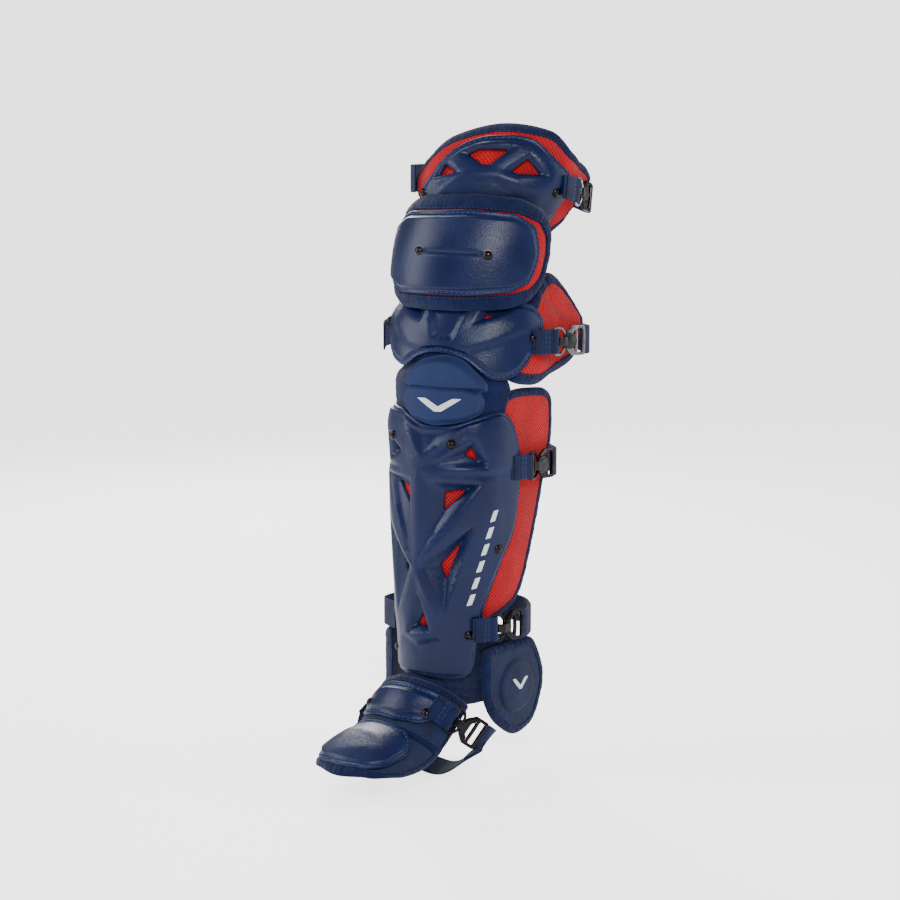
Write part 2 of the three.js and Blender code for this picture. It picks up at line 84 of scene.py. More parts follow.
# ---- Curves and surfaces ----

def place(points):
    """Design millimetres to metres in the frame."""
    return (np.asarray(points, float) - REST) * MM


def smooth(low, high, x):
    """0 below low and 1 above high, with a smooth step between."""
    t = np.clip((np.asarray(x, float) - low) / (high - low), 0, 1)
    return t * t * (3 - 2 * t)


def curve(points):
    """Smooth function through a few (x, y) points, with no overshoot, level past both ends."""
    xs, ys = np.array(points, float).T
    secants = np.diff(ys) / np.diff(xs)
    before = np.r_[secants[:1], secants]
    after = np.r_[secants, secants[-1:]]
    same_way = before * after > 0
    slopes = np.where(same_way, 2 * before * after / np.where(same_way, before + after, 1), 0)

    def value(x):
        x = np.clip(x, xs[0], xs[-1])
        i = np.clip(np.searchsorted(xs, x, side="right") - 1, 0, len(xs) - 2)
        span = xs[i + 1] - xs[i]
        t = (x - xs[i]) / span
        ends = t * (1 - t) ** 2 * slopes[i] + t * t * (t - 1) * slopes[i + 1]
        return ys[i] + (ys[i + 1] - ys[i]) * t * t * (3 - 2 * t) + ends * span

    return value


class Surface:
    """Curved sheet round the leg. scale is the millimetres of arc in one degree across."""

    def __init__(self, point, scale=1.0, mirrored=False):
        self.point = point
        self.scale = scale
        self.mirrored = mirrored

    def flat(self, points):
        """(angle, height) pairs as flat millimetres."""
        return np.array(points, float)[:, :2] * (self.scale, 1)

    def at(self, flat, offset):
        """Points in the frame, offset millimetres out from flat places."""
        flat = np.asarray(flat, float)
        return self.point(flat[..., 0] / self.scale, flat[..., 1], offset)

    def axes(self, angle, height, offset):
        """Matrix at a place, with x across the surface, y up it and z out of it."""
        here = np.array([[angle * self.scale, height]])
        origin = self.at(here, offset)[0]
        across = Vector(self.at(here + (1, 0), offset)[0] - origin).normalized()
        along = Vector(self.at(here + (0, 1), offset)[0] - origin)
        out = across.cross(along).normalized() * (-1 if self.mirrored else 1)
        return basis(origin, across, out.cross(across), out)


def basis(origin, x, y, z):
    """Matrix with the given unit axes and place."""
    matrix = Matrix((x, y, z)).transposed().to_4x4()
    matrix.translation = Vector(origin)
    return matrix


LEAN = curve([[340, 0], [390, 6], [430, 13], [509, 30], [575, 52], [634, 78]])


def sleeve(width, depth, yaw=0, forward=0, flare=lambda angle, z: 0.0):
    """Half sleeve: an ellipse over the front, then straight back past 90 degrees, and flared."""
    cos, sin = math.cos(math.radians(yaw)), math.sin(math.radians(yaw))

    def point(angle, z, offset):
        angle, z, offset = np.broadcast_arrays(*(np.asarray(v, float) for v in (angle, z, offset)))
        side = np.where(angle < 0, -1.0, 1.0)
        theta = np.radians(np.minimum(np.abs(angle), 90))
        behind = np.radians(np.maximum(np.abs(angle) - 90, 0))
        x = side * ((width(z) + offset) * np.sin(theta) + flare(np.abs(angle), z))
        y = -(depth(z) + offset) * np.cos(theta) + depth(z) * behind
        return place(np.stack([x * cos - y * sin, x * sin + y * cos + LEAN(z) - forward, z], -1))

    return point


SHIN_FLARE = curve([[80, 0], [110, 2], [140, 4]])
KNEE_FLARE = curve([[55, 0], [80, 4], [105, 10], [140, 13]])
KNEE_FLARE_SHARE = curve([[440, 1], [486, 0.55]])
KNEE_LOBE = curve([[108, 0], [128, 5], [150, 9]])
THIGH_FLARE = curve([[60, 0], [100, 7], [130, 10]])
THIGH_LOBE = curve([[104, 0], [124, 5], [148, 9]])

shin = Surface(sleeve(
    curve([[84, 53], [160, 58], [260, 64], [350, 67]]),
    curve([[84, 68], [200, 65], [350, 64]]),
    flare=lambda angle, z: SHIN_FLARE(angle)), 1.1)
knee = Surface(sleeve(
    curve([[372, 76], [400, 80], [436, 79], [456, 71], [486, 64]]),
    curve([[372, 60], [400, 58], [440, 54], [462, 47], [486, 42]]),
    yaw=KNEE_YAW,
    flare=lambda angle, z: KNEE_FLARE(angle) * KNEE_FLARE_SHARE(z) + KNEE_LOBE(angle)), 1.2)
kneecap = Surface(sleeve(
    curve([[452, 77], [480, 81], [509, 82], [538, 81], [566, 77]]),
    curve([[452, 57], [480, 61], [509, 62], [538, 61], [566, 57]]),
    yaw=KNEE_YAW, forward=4), 1.28)
thigh = Surface(sleeve(
    curve([[505, 54], [545, 63], [580, 78], [615, 78], [636, 74]]),
    curve([[505, 32], [545, 38], [580, 46], [615, 44], [636, 38]]),
    yaw=THIGH_YAW,
    flare=lambda angle, z: THIGH_FLARE(angle) + THIGH_LOBE(angle)), 1.15)

RIDGE = curve([[-200, 18], [-187, 29], [-156, 42], [-128, 51], [-112, 62], [-86, 90], [-76, 100]])
ARCH = curve([[-200, 18], [-160, 28], [-118, 40], [-86, 48]])
FOOT_HALF_WIDTH = curve([[-200, 40], [-185, 50], [-140, 54], [-80, 54]])


def foot_point(angle, y, offset):
    """Over the shoe: angle 0 is the ridge down to the toe, and y is how far forward."""
    angle, y, offset = np.broadcast_arrays(*(np.asarray(v, float) for v in (angle, y, offset)))
    phi = np.radians(angle)
    slope = np.arctan((RIDGE(y + 2) - RIDGE(y - 2)) / 4)
    rise = (ARCH(y) + offset) * np.cos(phi) - ARCH(y)
    return place(np.stack([
        (FOOT_HALF_WIDTH(y) + offset) * np.sin(phi),
        y - rise * np.sin(slope),
        RIDGE(y) + rise * np.cos(slope)], -1))


foot = Surface(foot_point, 0.85)


def flap_point(side):
    """Side flap over the ankle bone: along runs back from its hinge."""
    def point(along, z, offset):
        along, z, offset = np.broadcast_arrays(*(np.asarray(v, float) for v in (along, z, offset)))
        return place(np.stack([side * (49 + along * 0.12 + offset), along - 34, z], -1))

    return point


def inner_flap_point(along, z, offset):
    """The inner flap stands further off the ankle than the outer one."""
    return flap_point(-1)(along, z, offset + 27 * smooth(-14, 20, along))


flap_inner = Surface(inner_flap_point, mirrored=True)
flap_outer = Surface(flap_point(1))


# ---- Flat outlines ----

CREASE_STEP = 1.7         # between the points of a crease
CREASE_GAP = 0.7          # kept between a crease and an edge
OUTLINE_STEP = 2.2
ROW_PITCH = 0.866         # of staggered rows, in spacings
OUTLINE_STATIONS = 59     # on each side of a patch, before it is smoothed


def resampled(path, step, closed=True):
    """The same path with more points, so that none are further apart than step."""
    path = np.asarray(path, float)
    ends = np.roll(path, -1, 0) if closed else path[1:]
    points = []
    for start, end in zip(path, ends):
        count = max(1, math.ceil(np.linalg.norm(end - start) / step))
        points.extend(start + (end - start) * k / count for k in range(count))
    if not closed:
        points.append(path[-1])
    return np.array(points)


def rounded(corners, radius, step=1.6):
    """Closed outline through flat corners, each rounded off."""
    corners = np.asarray(corners, float)
    radii = np.broadcast_to(radius, len(corners))
    path = []
    for i, corner in enumerate(corners):
        back = corners[i - 1] - corner
        on = corners[(i + 1) % len(corners)] - corner
        lengths = np.linalg.norm(back), np.linalg.norm(on)
        back, on = back / lengths[0], on / lengths[1]
        half_turn = math.acos(max(-1.0, min(1.0, float(back @ on)))) / 2
        reach = min(radii[i] / max(math.tan(half_turn), 0.05), 0.46 * min(lengths))
        count = max(2, math.ceil(1.7 * reach / step))
        for t in np.linspace(0, 1, count + 1):
            start, end = corner + back * reach, corner + on * reach
            path.append((1 - t) ** 2 * start + 2 * t * (1 - t) * corner + t * t * end)
    path = np.array(path)
    apart = np.linalg.norm(np.roll(path, -1, 0) - path, axis=1) > 0.05
    return resampled(path[apart], step)


def inside(points, loop):
    """Which flat points lie inside a closed loop."""
    x, y = points[:, 0], points[:, 1]
    found = np.zeros(len(points), bool)
    for (x0, y0), (x1, y1) in zip(loop, np.roll(loop, -1, 0)):
        if y0 != y1:
            crosses = (y0 > y) != (y1 > y)
            found ^= crosses & (x < (x1 - x0) * (y - y0) / (y1 - y0) + x0)
    return found


def distance(points, path, closed=True):
    """How far flat points are from a path."""
    points, path = np.asarray(points, float), np.asarray(path, float)
    best = np.full(len(points), 1e9)
    ends = np.roll(path, -1, 0) if closed else path[1:]
    for first in range(0, len(ends), 48):
        start, end = path[first:first + 48][:len(ends) - first], ends[first:first + 48]
        span = end - start
        x = points[:, None, 0] - start[:, 0]
        y = points[:, None, 1] - start[:, 1]
        t = (x * span[:, 0] + y * span[:, 1]) / np.maximum((span * span).sum(1), 1e-12)
        t = np.clip(t, 0, 1)
        away = (x - t * span[:, 0]) ** 2 + (y - t * span[:, 1]) ** 2
        best = np.minimum(best, away.min(1))
    return np.sqrt(best)


def inward(loop):
    """Unit directions into a closed loop at each of its points."""
    tangent = np.roll(loop, -1, 0) - np.roll(loop, 1, 0)
    tangent /= np.maximum(np.linalg.norm(tangent, axis=1), 1e-9)[:, None]
    area = np.sum(loop[:, 0] * np.roll(loop[:, 1], -1) - loop[:, 1] * np.roll(loop[:, 0], -1))
    return np.stack([-tangent[:, 1], tangent[:, 0]], 1) * (1 if area > 0 else -1)


def inset(loop, depth):
    """Points depth inside a loop, without those that would fall nearer to another stretch."""
    moved = loop + inward(loop) * depth
    return moved[distance(moved, loop) > 0.9 * depth]


def within(points, outline, holes):
    """Which flat points lie inside an outline and outside its holes."""
    kept = inside(points, outline)
    for hole in holes:
        kept &= ~inside(points, hole)
    return kept


def apart(points, others, gap):
    """The points that are further than gap from all the others."""
    cells = {}
    for x, y in others:
        cells.setdefault((int(x // gap), int(y // gap)), []).append((x, y))
    around = [(i, j) for i in (-1, 0, 1) for j in (-1, 0, 1)]
    kept = [not any(
        (x - a) ** 2 + (y - b) ** 2 < gap ** 2
        for i, j in around for a, b in cells.get((int(x // gap) + i, int(y // gap) + j), ()))
        for x, y in points]
    return points[np.array(kept, bool)]


def lattice(outline, spacing):
    """Staggered rows of flat points over an outline's box."""
    low, high = outline.min(0), outline.max(0)
    rows = np.arange(low[1], high[1], spacing * ROW_PITCH)
    return np.array([
        (x, y) for k, y in enumerate(rows)
        for x in np.arange(low[0] + (k % 2) * spacing / 2, high[0], spacing)])


def fill(outline, holes, spacing, creases=(), rims=()):
    """Flat points and triangles inside an outline and outside its holes. Creases are lines that
    the triangles' edges follow, and rims are depths inside the edges with points of their own."""
    loops = [outline, *holes]
    fixed = [(loop, True) for loop in loops]
    points, edges = [], []
    for loop in loops:
        first = len(points)
        points.extend(loop)
        edges.extend((first + k, first + (k + 1) % len(loop)) for k in range(len(loop)))
    for line in creases:
        line = resampled(line, CREASE_STEP, closed=False)
        kept = within(line, outline, holes)
        for loop in loops:
            kept &= distance(line, loop) > CREASE_GAP
        index = len(points) + np.cumsum(kept) - 1
        points.extend(line[kept])
        edges.extend((index[k], index[k + 1])
                     for k in range(len(line) - 1) if kept[k] and kept[k + 1])
        if kept.any():
            fixed.append((line[kept], False))

    def free(group, gap):
        """The points of a group that are inside, and further than gap from every fixed line."""
        group = group[within(group, outline, holes)]
        kept = np.ones(len(group), bool)
        for path, closed in fixed:
            kept &= distance(group, path, closed) > gap
        return group[kept]

    rings = [inset(outline, depth) for depth in rims]
    rings += [hole - inward(hole) * depth for hole in holes for depth in rims[:2]]
    rings = [free(ring, 0.55 * rims[0]) for ring in rings]
    middle = free(lattice(outline, spacing), 0.6 * spacing)
    if rings:
        middle = apart(middle, np.vstack(rings), 0.5 * spacing)
    everything = np.vstack([np.array(points), *rings, middle])
    made = delaunay_2d_cdt([Vector(p) for p in everything], edges, [], 0, 1e-4)
    flat = np.array([tuple(v) for v in made[0]])
    faces = np.array([f for f in made[2] if len(f) == 3])
    faces = faces[within(flat[faces].mean(1), outline, holes)]
    used, renumbered = np.unique(faces, return_inverse=True)
    return flat[used], renumbered.reshape(faces.shape)


class Relief:
    """Moulded height over a flat patch, in flat facets between lines of (angle, height, offset).
    The facets meet along the lines, and soften is how far each crease is rounded over."""

    def __init__(self, surface, lines, soften=0.9):
        points, edges = [], []
        for line in lines:
            first = len(points)
            points.extend(line)
            edges.extend((first + k, first + k + 1) for k in range(len(line) - 1))
        points = np.array(points, float)
        places = surface.flat(points)
        made = delaunay_2d_cdt([Vector(p) for p in places], edges, [], 0, 1e-3)
        self.flat = np.array([tuple(v) for v in made[0]])
        self.heights = np.array([
            np.mean(points[sources, 2]) if len(sources) else np.nan for sources in made[3]])
        for k in np.flatnonzero(np.isnan(self.heights)):
            away = np.hypot(*(places - self.flat[k]).T)
            nearest = np.argsort(away)[:2]
            share = away[nearest][::-1] / away[nearest].sum()
            self.heights[k] = points[nearest, 2] @ share
        self.faces = [f for f in made[2] if len(f) == 3]
        self.creases = [surface.flat(line) for line in lines if len(line) > 1]
        self.soften = soften

    def exact(self, flat):
        """Heights on the facets, before the creases are rounded over."""
        heights = np.full(len(flat), 4.0)
        for face in self.faces:
            a, b, c = self.flat[face]
            matrix = np.array([b - a, c - a]).T
            if abs(np.linalg.det(matrix)) < 1e-6:
                continue
            shares = np.linalg.solve(matrix, (flat - a).T)
            within = (shares[0] > -1e-6) & (shares[1] > -1e-6) & (shares.sum(0) < 1 + 1e-6)
            ha, hb, hc = self.heights[face]
            heights[within] = (ha + shares[0] * (hb - ha) + shares[1] * (hc - ha))[within]
        return heights

    def __call__(self, flat):
        nearby = [(0, 0), (1, 0), (-1, 0), (0, 1), (0, -1)]
        return np.mean([self.exact(flat + np.array(d) * self.soften) for d in nearby], 0)


def recesses(holes, top, floor):
    """Lines of sunk polygons, given as (corners, hole) pairs: facets fall from the corners at top
    to the hole's own corners at floor."""
    lines = []
    for corners, hole in holes:
        rim = [(*corner, top) for corner in corners]
        low = [(*corner, floor) for corner in hole]
        lines += [[*rim, rim[0]], [*low, low[0]], *([a, b] for a, b in zip(rim, low))]
    return lines


def patch_outline(surface, left, right, bottom, top, passes=40):
    """Flat outline of a four-sided patch, with its corners smoothed off."""
    left, right, bottom, top = (curve(edge) for edge in (left, right, bottom, top))
    share = np.linspace(0, 1, OUTLINE_STATIONS + 1)[:-1]
    zeros, ones = np.zeros(OUTLINE_STATIONS), np.ones(OUTLINE_STATIONS)
    s = np.r_[share * 2 - 1, ones, 1 - share * 2, -ones]
    t = np.r_[zeros, share, ones, 1 - share]
    width = (s + 1) / 2
    angle = left(t) * (1 - width) + right(t) * width
    height = bottom(s) * (1 - t) + top(s) * t
    loop = resampled(surface.flat(np.stack([angle, height], 1)), OUTLINE_STEP)
    for _ in range(passes):
        loop = loop / 2 + (np.roll(loop, 1, 0) + np.roll(loop, -1, 0)) / 4
    return resampled(loop, OUTLINE_STEP)


def quarter_round(edge, radius):
    """1 at an edge and 0 from radius inside it, along a quarter of a circle."""
    return 1 - np.sqrt(1 - (1 - np.clip(edge / radius, 0, 1)) ** 2)


def near_line(flat, line, width):
    """1 on an open flat line, falling off smoothly over about width."""
    return np.exp(-(distance(flat, line, closed=False) / width) ** 2)


# ---- Meshes ----

def mesh_object(name, points, faces, materials, uv=None, sharp=None, face_materials=None):
    """Object from points in metres. uv is in millimetres, one pair for each point."""
    mesh = bpy.data.meshes.new(name)
    mesh.from_pydata(np.asarray(points, float).tolist(), [], [list(map(int, f)) for f in faces])
    if uv is not None:
        corners = np.empty(len(mesh.loops), np.int64)
        mesh.loops.foreach_get("vertex_index", corners)
        layer = mesh.uv_layers.new(name="metric")
        layer.data.foreach_set("uv", (np.asarray(uv)[corners] * 0.01).astype(np.float32).ravel())
    for material in materials if isinstance(materials, (list, tuple)) else [materials]:
        mesh.materials.append(material)
    if face_materials is not None:
        mesh.polygons.foreach_set("material_index", np.asarray(face_materials, np.int32))
    mesh.shade_smooth()
    if sharp:
        mesh.set_sharp_from_angle(angle=math.radians(sharp))
    obj = bpy.data.objects.new(name, mesh)
    bpy.context.scene.collection.objects.link(obj)
    return obj


def slab(name, front_points, back_points, flat, faces, materials, sharp=None, mirrored=False):
    """Closed piece between two layers of points over the same flat triangles. With two
    materials, the second is on the back."""
    count = len(flat)
    a, b, c = faces.T
    directed = np.vstack([faces[:, [0, 1]], faces[:, [1, 2]], faces[:, [2, 0]]])
    known = set(map(tuple, directed.tolist()))
    rim = np.array([(p, q) for p, q in directed.tolist() if (q, p) not in known])
    walls = np.stack([rim[:, 1], rim[:, 0], rim[:, 0] + count, rim[:, 1] + count], 1)
    front, back = faces, np.stack([a, c, b], 1) + count
    if mirrored:
        front, back, walls = front[:, ::-1], back[:, ::-1], walls[:, ::-1]
    made = [*front.tolist(), *back.tolist(), *walls.tolist()]
    index = np.r_[np.zeros(len(front)), np.ones(len(back)), np.zeros(len(walls))]
    several = isinstance(materials, (list, tuple)) and len(materials) > 1
    return mesh_object(name, np.vstack([front_points, back_points]), made, materials,
                       np.vstack([flat, flat]), sharp, index if several else None)


def solid(name, surface, flat, faces, outer, inner, materials, sharp=None):
    """Closed piece between two offsets from a surface."""
    return slab(name, surface.at(flat, outer), surface.at(flat, inner), flat, faces, materials,
                sharp, surface.mirrored)


def skin(rings, loop=False):
    """Faces over rows of rings of equal size, capped at both ends unless they join in a loop."""
    count, sides = rings
    faces = []
    for i in range(count if loop else count - 1):
        for k in range(sides):
            following, beside = (i + 1) % count, (k + 1) % sides
            faces.append((i * sides + k, i * sides + beside,
                          following * sides + beside, following * sides + k))
    if not loop:
        faces.append(tuple(range(sides - 1, -1, -1)))
        faces.append(tuple((count - 1) * sides + k for k in range(sides)))
    return faces


def swept(name, rings, material, loop=False, uv=None, sharp=None):
    """Object skinned over rings, an array of count x sides x 3 points in metres."""
    obj = mesh_object(name, rings.reshape(-1, 3), skin(rings.shape[:2], loop), material, uv, sharp)
    outward_faces(obj)
    return obj


def outward_faces(obj):
    """Turns a closed mesh's faces out if it came inside out."""
    mesh = obj.data
    mesh.calc_loop_triangles()
    points = np.array([v.co for v in mesh.vertices])
    triangles = np.array([t.vertices for t in mesh.loop_triangles])
    a, b, c = (points[triangles[:, k]] for k in range(3))
    if np.einsum("ij,ij->i", a, np.cross(b, c)).sum() < 0:
        mesh.flip_normals()


def distance_along(path, closed=False):
    """Length of a path up to each of its points, and back to the first if it is closed."""
    ends = np.roll(path, -1, 0) if closed else path[1:]
    steps = np.linalg.norm(ends - path[:len(ends)], axis=1)
    return np.r_[0, np.cumsum(steps)]


def directions(path):
    """Unit tangents along an open path."""
    tangents = np.gradient(path, axis=0)
    return tangents / np.linalg.norm(tangents, axis=1)[:, None]


def circle(count):
    """Angles evenly round a circle, in radians."""
    return np.arange(count) * 2 * math.pi / count


def grid(rows, columns):
    """Every pair of two lists of lengths, in the order of a skin's points."""
    return np.stack(np.meshgrid(rows, columns, indexing="ij"), -1).reshape(-1, 2)


def joined(name, parts, material, uv):
    """One object from several (points, faces) solids."""
    points, faces, first = [], [], 0
    for part_points, part_faces in parts:
        points.append(part_points)
        faces.extend([tuple(first + k for k in face) for face in part_faces])
        first += len(part_points)
    obj = mesh_object(name, np.vstack(points), faces, material, uv)
    outward_faces(obj)
    return obj


def settle(obj, body, slot, *nodes):
    """The piece rides on a body and stands for CAD nodes; slot is not used."""
    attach(obj, body)
    if nodes:
        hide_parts(*nodes)
    return obj


# ---- Materials ----

def linear(red, green, blue):
    """Colour for a shader from 0-255 display values."""
    parts = [v / 255 for v in (red, green, blue)]
    return (*(v / 12.92 if v <= 0.04045 else ((v + 0.055) / 1.055) ** 2.4 for v in parts), 1)


class Graph:
    """A material and short calls for its nodes. Flat patterns read the metric UV map in
    millimetres, and grain reads the object's own coordinates in metres."""

    def __init__(self, name, roughness, metallic=0.0, **sockets):
        self.material = bpy.data.materials.new(name)
        self.material.use_nodes = True
        self.tree = self.material.node_tree
        self.shader = self.tree.nodes["Principled BSDF"]
        self.shader.inputs["Roughness"].default_value = roughness
        self.shader.inputs["Metallic"].default_value = metallic
        for key, value in sockets.items():
            self.shader.inputs[key.replace("_", " ")].default_value = value

    def node(self, kind, inputs=(), **settings):
        made = self.tree.nodes.new(kind)
        for key, value in settings.items():
            setattr(made, key, value)
        for key, value in dict(inputs).items():
            self.feed(made.inputs[key], value)
        return made

    def feed(self, socket, value):
        if isinstance(value, bpy.types.NodeSocket):
            self.tree.links.new(value, socket)
        else:
            socket.default_value = value

    def math(self, operation, a, b=0.0):
        return self.node("ShaderNodeMath", {0: a, 1: b}, operation=operation).outputs[0]

    def flat(self):
        """Millimetres across and along the flat piece."""
        place_node = self.node("ShaderNodeUVMap", uv_map="metric")
        split = self.node("ShaderNodeSeparateXYZ", {0: place_node.outputs[0]})
        return [self.math("MULTIPLY", split.outputs[k], 100.0) for k in (0, 1)]

    def wave(self, value, period):
        """Cosine of a length, from -1 to 1."""
        return self.math("COSINE", self.math("MULTIPLY", value, 2 * math.pi / period))

    def noise(self, size, detail=2.0, roughness=0.5, stretch=(1, 1, 1)):
        """Noise of about that many millimetres to a feature, from 0 to 1."""
        where = self.node("ShaderNodeTexCoord").outputs["Object"]
        if stretch != (1, 1, 1):
            where = self.node("ShaderNodeMapping", {"Vector": where, "Scale": stretch}).outputs[0]
        return self.node("ShaderNodeTexNoise", {
            "Vector": where, "Scale": 1000 / size, "Detail": detail, "Roughness": roughness,
        }).outputs["Fac"]

    def step(self, value, low, high, out_low=0.0, out_high=1.0):
        return self.node("ShaderNodeMapRange", {
            "Value": value, "From Min": low, "From Max": high, "To Min": out_low,
            "To Max": out_high}, interpolation_type="SMOOTHSTEP").outputs[0]

    def mix(self, share, a, b):
        return self.node("ShaderNodeMix", {0: share, 6: a, 7: b}, data_type="RGBA").outputs[2]

    def mottled(self, size, dark, bright, low=0.3, high=0.7, detail=3.0):
        """Broad noise, and the colour that it varies between two."""
        broad = self.noise(size, detail)
        return broad, self.mix(self.step(broad, low, high), linear(*dark), linear(*bright))

    def finish(self, colour, bumps, roughness=None):
        """Joins the colour, the bumps as (height, depth in millimetres), and the roughness."""
        self.feed(self.shader.inputs["Base Color"], colour)
        normal = None
        for height, depth in bumps:
            inputs = {"Height": height, "Distance": depth * MM, "Strength": 1.0}
            if normal is not None:
                inputs["Normal"] = normal
            normal = self.node("ShaderNodeBump", inputs).outputs[0]
        if normal is not None:
            self.feed(self.shader.inputs["Normal"], normal)
        if roughness is not None:
            self.feed(self.shader.inputs["Roughness"], roughness)
        return self.material


def shell_plastic():
    """Moulded navy plastic: pebble grain, faint scuffs, and paler creases of wear and painted
    highlight.
    """
    g = Graph("shell_plastic", 0.34, Specular_IOR_Level=0.38)
    grain = g.noise(1.5, 2.0, 0.6)
    broad, base = g.mottled(38.0, (9, 23, 66), (12, 29, 76))
    scuffs = g.step(g.noise(2.2, 4.0, 0.7, (1.0, 1.0, 0.12)), 0.66, 0.8)
    # Pointiness lightens sharp edges and ridge creases: partly edge wear, partly a painted highlight
    # on the ridges.
    wear_and_sheen = g.step(g.node("ShaderNodeNewGeometry").outputs["Pointiness"], 0.53, 0.62)
    speckled = g.mix(g.step(grain, 0.56, 0.75, 0.0, 0.25), base, linear(30, 46, 84))
    worn_and_highlit = g.mix(g.math("MULTIPLY", wear_and_sheen, 0.35), speckled, linear(70, 92, 130))
    roughness = g.math("ADD", g.step(broad, 0.3, 0.7, 0.28, 0.37),
                       g.math("MULTIPLY", scuffs, 0.1))
    return g.finish(worn_and_highlit, [(broad, 0.3), (grain, 0.3), (scuffs, -0.02)], roughness)


def mesh_fabric(name, thread, shade, hole, pitch):
    """Knitted spacer mesh: staggered holes between threads."""
    g = Graph(name, 0.82, Specular_IOR_Level=0.25, Sheen_Weight=0.12, Sheen_Roughness=0.5)
    across, along = g.flat()
    dots = g.math("MULTIPLY", g.wave(across, pitch * 1.5), g.wave(along, pitch * 1.6))
    holes = g.step(dots, 0.22, 0.5)
    yarn = g.wave(g.math("ADD", across, g.math("MULTIPLY", along, 1.15)), pitch / 4)
    _, body = g.mottled(24.0, shade, thread, 0.25, 0.75)
    fine = g.mix(g.step(yarn, -1.0, 1.0, 0.0, 0.18), body, linear(*shade))
    colour = g.mix(holes, fine, linear(*hole))
    return g.finish(colour, [(g.noise(3.5, 2.0), 0.35), (yarn, 0.05), (holes, -0.4)])


def hatched_fabric(name, thread, shade, pitch):
    """Coated navy fabric with a fine diagonal hatch."""
    g = Graph(name, 0.72, Specular_IOR_Level=0.3, Sheen_Weight=0.1)
    across, along = g.flat()
    one = g.wave(g.math("ADD", across, along), pitch)
    two = g.wave(g.math("SUBTRACT", across, along), pitch)
    hatch = g.step(g.math("MULTIPLY", one, two), -0.2, 0.7)
    _, body = g.mottled(22.0, shade, thread)
    colour = g.mix(g.math("MULTIPLY", hatch, 0.55), body, linear(*[v * 0.55 for v in shade]))
    return g.finish(colour, [(g.noise(4.0), 0.25), (hatch, -0.25)])


def twill(name, bright, dark):
    """Edge binding: diagonal ribs with a little fuzz."""
    g = Graph(name, 0.85, Specular_IOR_Level=0.2, Sheen_Weight=0.2, Sheen_Roughness=0.4)
    across, along = g.flat()
    ribs = g.wave(g.math("ADD", across, g.math("MULTIPLY", along, 0.8)), 1.5)
    _, body = g.mottled(12.0, dark, bright, detail=4.0)
    colour = g.mix(g.step(ribs, -0.9, 0.4, 0.55, 0.0), body, linear(*[v * 0.6 for v in dark]))
    return g.finish(colour, [(g.noise(5.0, 3.0), 0.5), (ribs, 0.12), (g.noise(0.5, 2.0), 0.06)])


def elastic(name, bright, dark):
    """Ribbed elastic webbing: picks across it and a fine warp along it."""
    g = Graph(name, 0.8, Specular_IOR_Level=0.25, Sheen_Weight=0.15)
    along, across = g.flat()
    picks = g.wave(along, 1.9)
    warp = g.wave(across, 0.95)
    edge = g.step(g.math("ABSOLUTE", across), 11.5, 12.6)
    _, body = g.mottled(15.0, dark, bright)
    ribbed = g.mix(g.step(picks, -1.0, 0.6, 0.5, 0.0), body, linear(*[v * 0.5 for v in dark]))
    colour = g.mix(g.math("MULTIPLY", edge, 0.3), ribbed, linear(*bright))
    return g.finish(colour, [(picks, 0.16), (warp, 0.06), (edge, 0.2)])


def eva_foam():
    """Moulded closed-cell foam: matte, faintly mottled."""
    g = Graph("eva_foam", 0.68, Specular_IOR_Level=0.35)
    cells = g.noise(0.6, 3.0, 0.6)
    broad, base = g.mottled(18.0, (24, 40, 84), (30, 48, 94))
    colour = g.mix(g.step(cells, 0.5, 0.8, 0.0, 0.3), base, linear(18, 31, 68))
    return g.finish(colour, [(broad, 0.25), (cells, 0.07)], g.step(broad, 0.3, 0.7, 0.62, 0.74))


def metal(name, colour, roughness, grime):
    """Plated wire or plate with fine scratches and some grime."""
    g = Graph(name, roughness, 1.0)
    scratches = g.step(g.noise(1.2, 4.0, 0.7, (1.0, 0.1, 1.0)), 0.6, 0.78)
    broad = g.noise(6.0, 3.0)
    shade = g.mix(g.step(broad, 0.45, 0.75, 0.0, 0.5), linear(*colour), linear(*grime))
    wear_and_sheen = g.math("ADD", g.step(broad, 0.3, 0.7, roughness - 0.04, roughness + 0.08),
                  g.math("MULTIPLY", scratches, 0.15))
    return g.finish(shade, [(scratches, -0.02), (broad, 0.05)], wear_and_sheen)


def black_plastic():
    """Moulded black knob, smooth and slightly dusty."""
    g = Graph("black_plastic", 0.35, Specular_IOR_Level=0.5)
    broad, colour = g.mottled(5.0, (15, 15, 19), (30, 30, 36))
    return g.finish(colour, [(g.noise(0.7, 2.0), 0.05)], g.step(broad, 0.3, 0.7, 0.28, 0.42))


def thread(name, bright, dark):
    """Twisted sewing thread."""
    g = Graph(name, 0.6, Specular_IOR_Level=0.35, Sheen_Weight=0.2)
    across, along = g.flat()
    twist = g.wave(g.math("ADD", across, along), 0.7)
    colour = g.mix(g.step(twist, -0.8, 0.8), linear(*dark), linear(*bright))
    return g.finish(colour, [(twist, 0.08), (g.noise(0.4), 0.04)])


def print_ink():
    """Raised pale print, very slightly cracked and soiled."""
    g = Graph("print_ink", 0.45, Specular_IOR_Level=0.45)
    soil = g.step(g.noise(3.0, 4.0, 0.65), 0.45, 0.8)
    colour = g.mix(g.math("MULTIPLY", soil, 0.35), linear(240, 243, 246), linear(196, 204, 214))
    return g.finish(colour, [(g.noise(0.5, 3.0), 0.04)], g.step(soil, 0.0, 1.0, 0.4, 0.58))


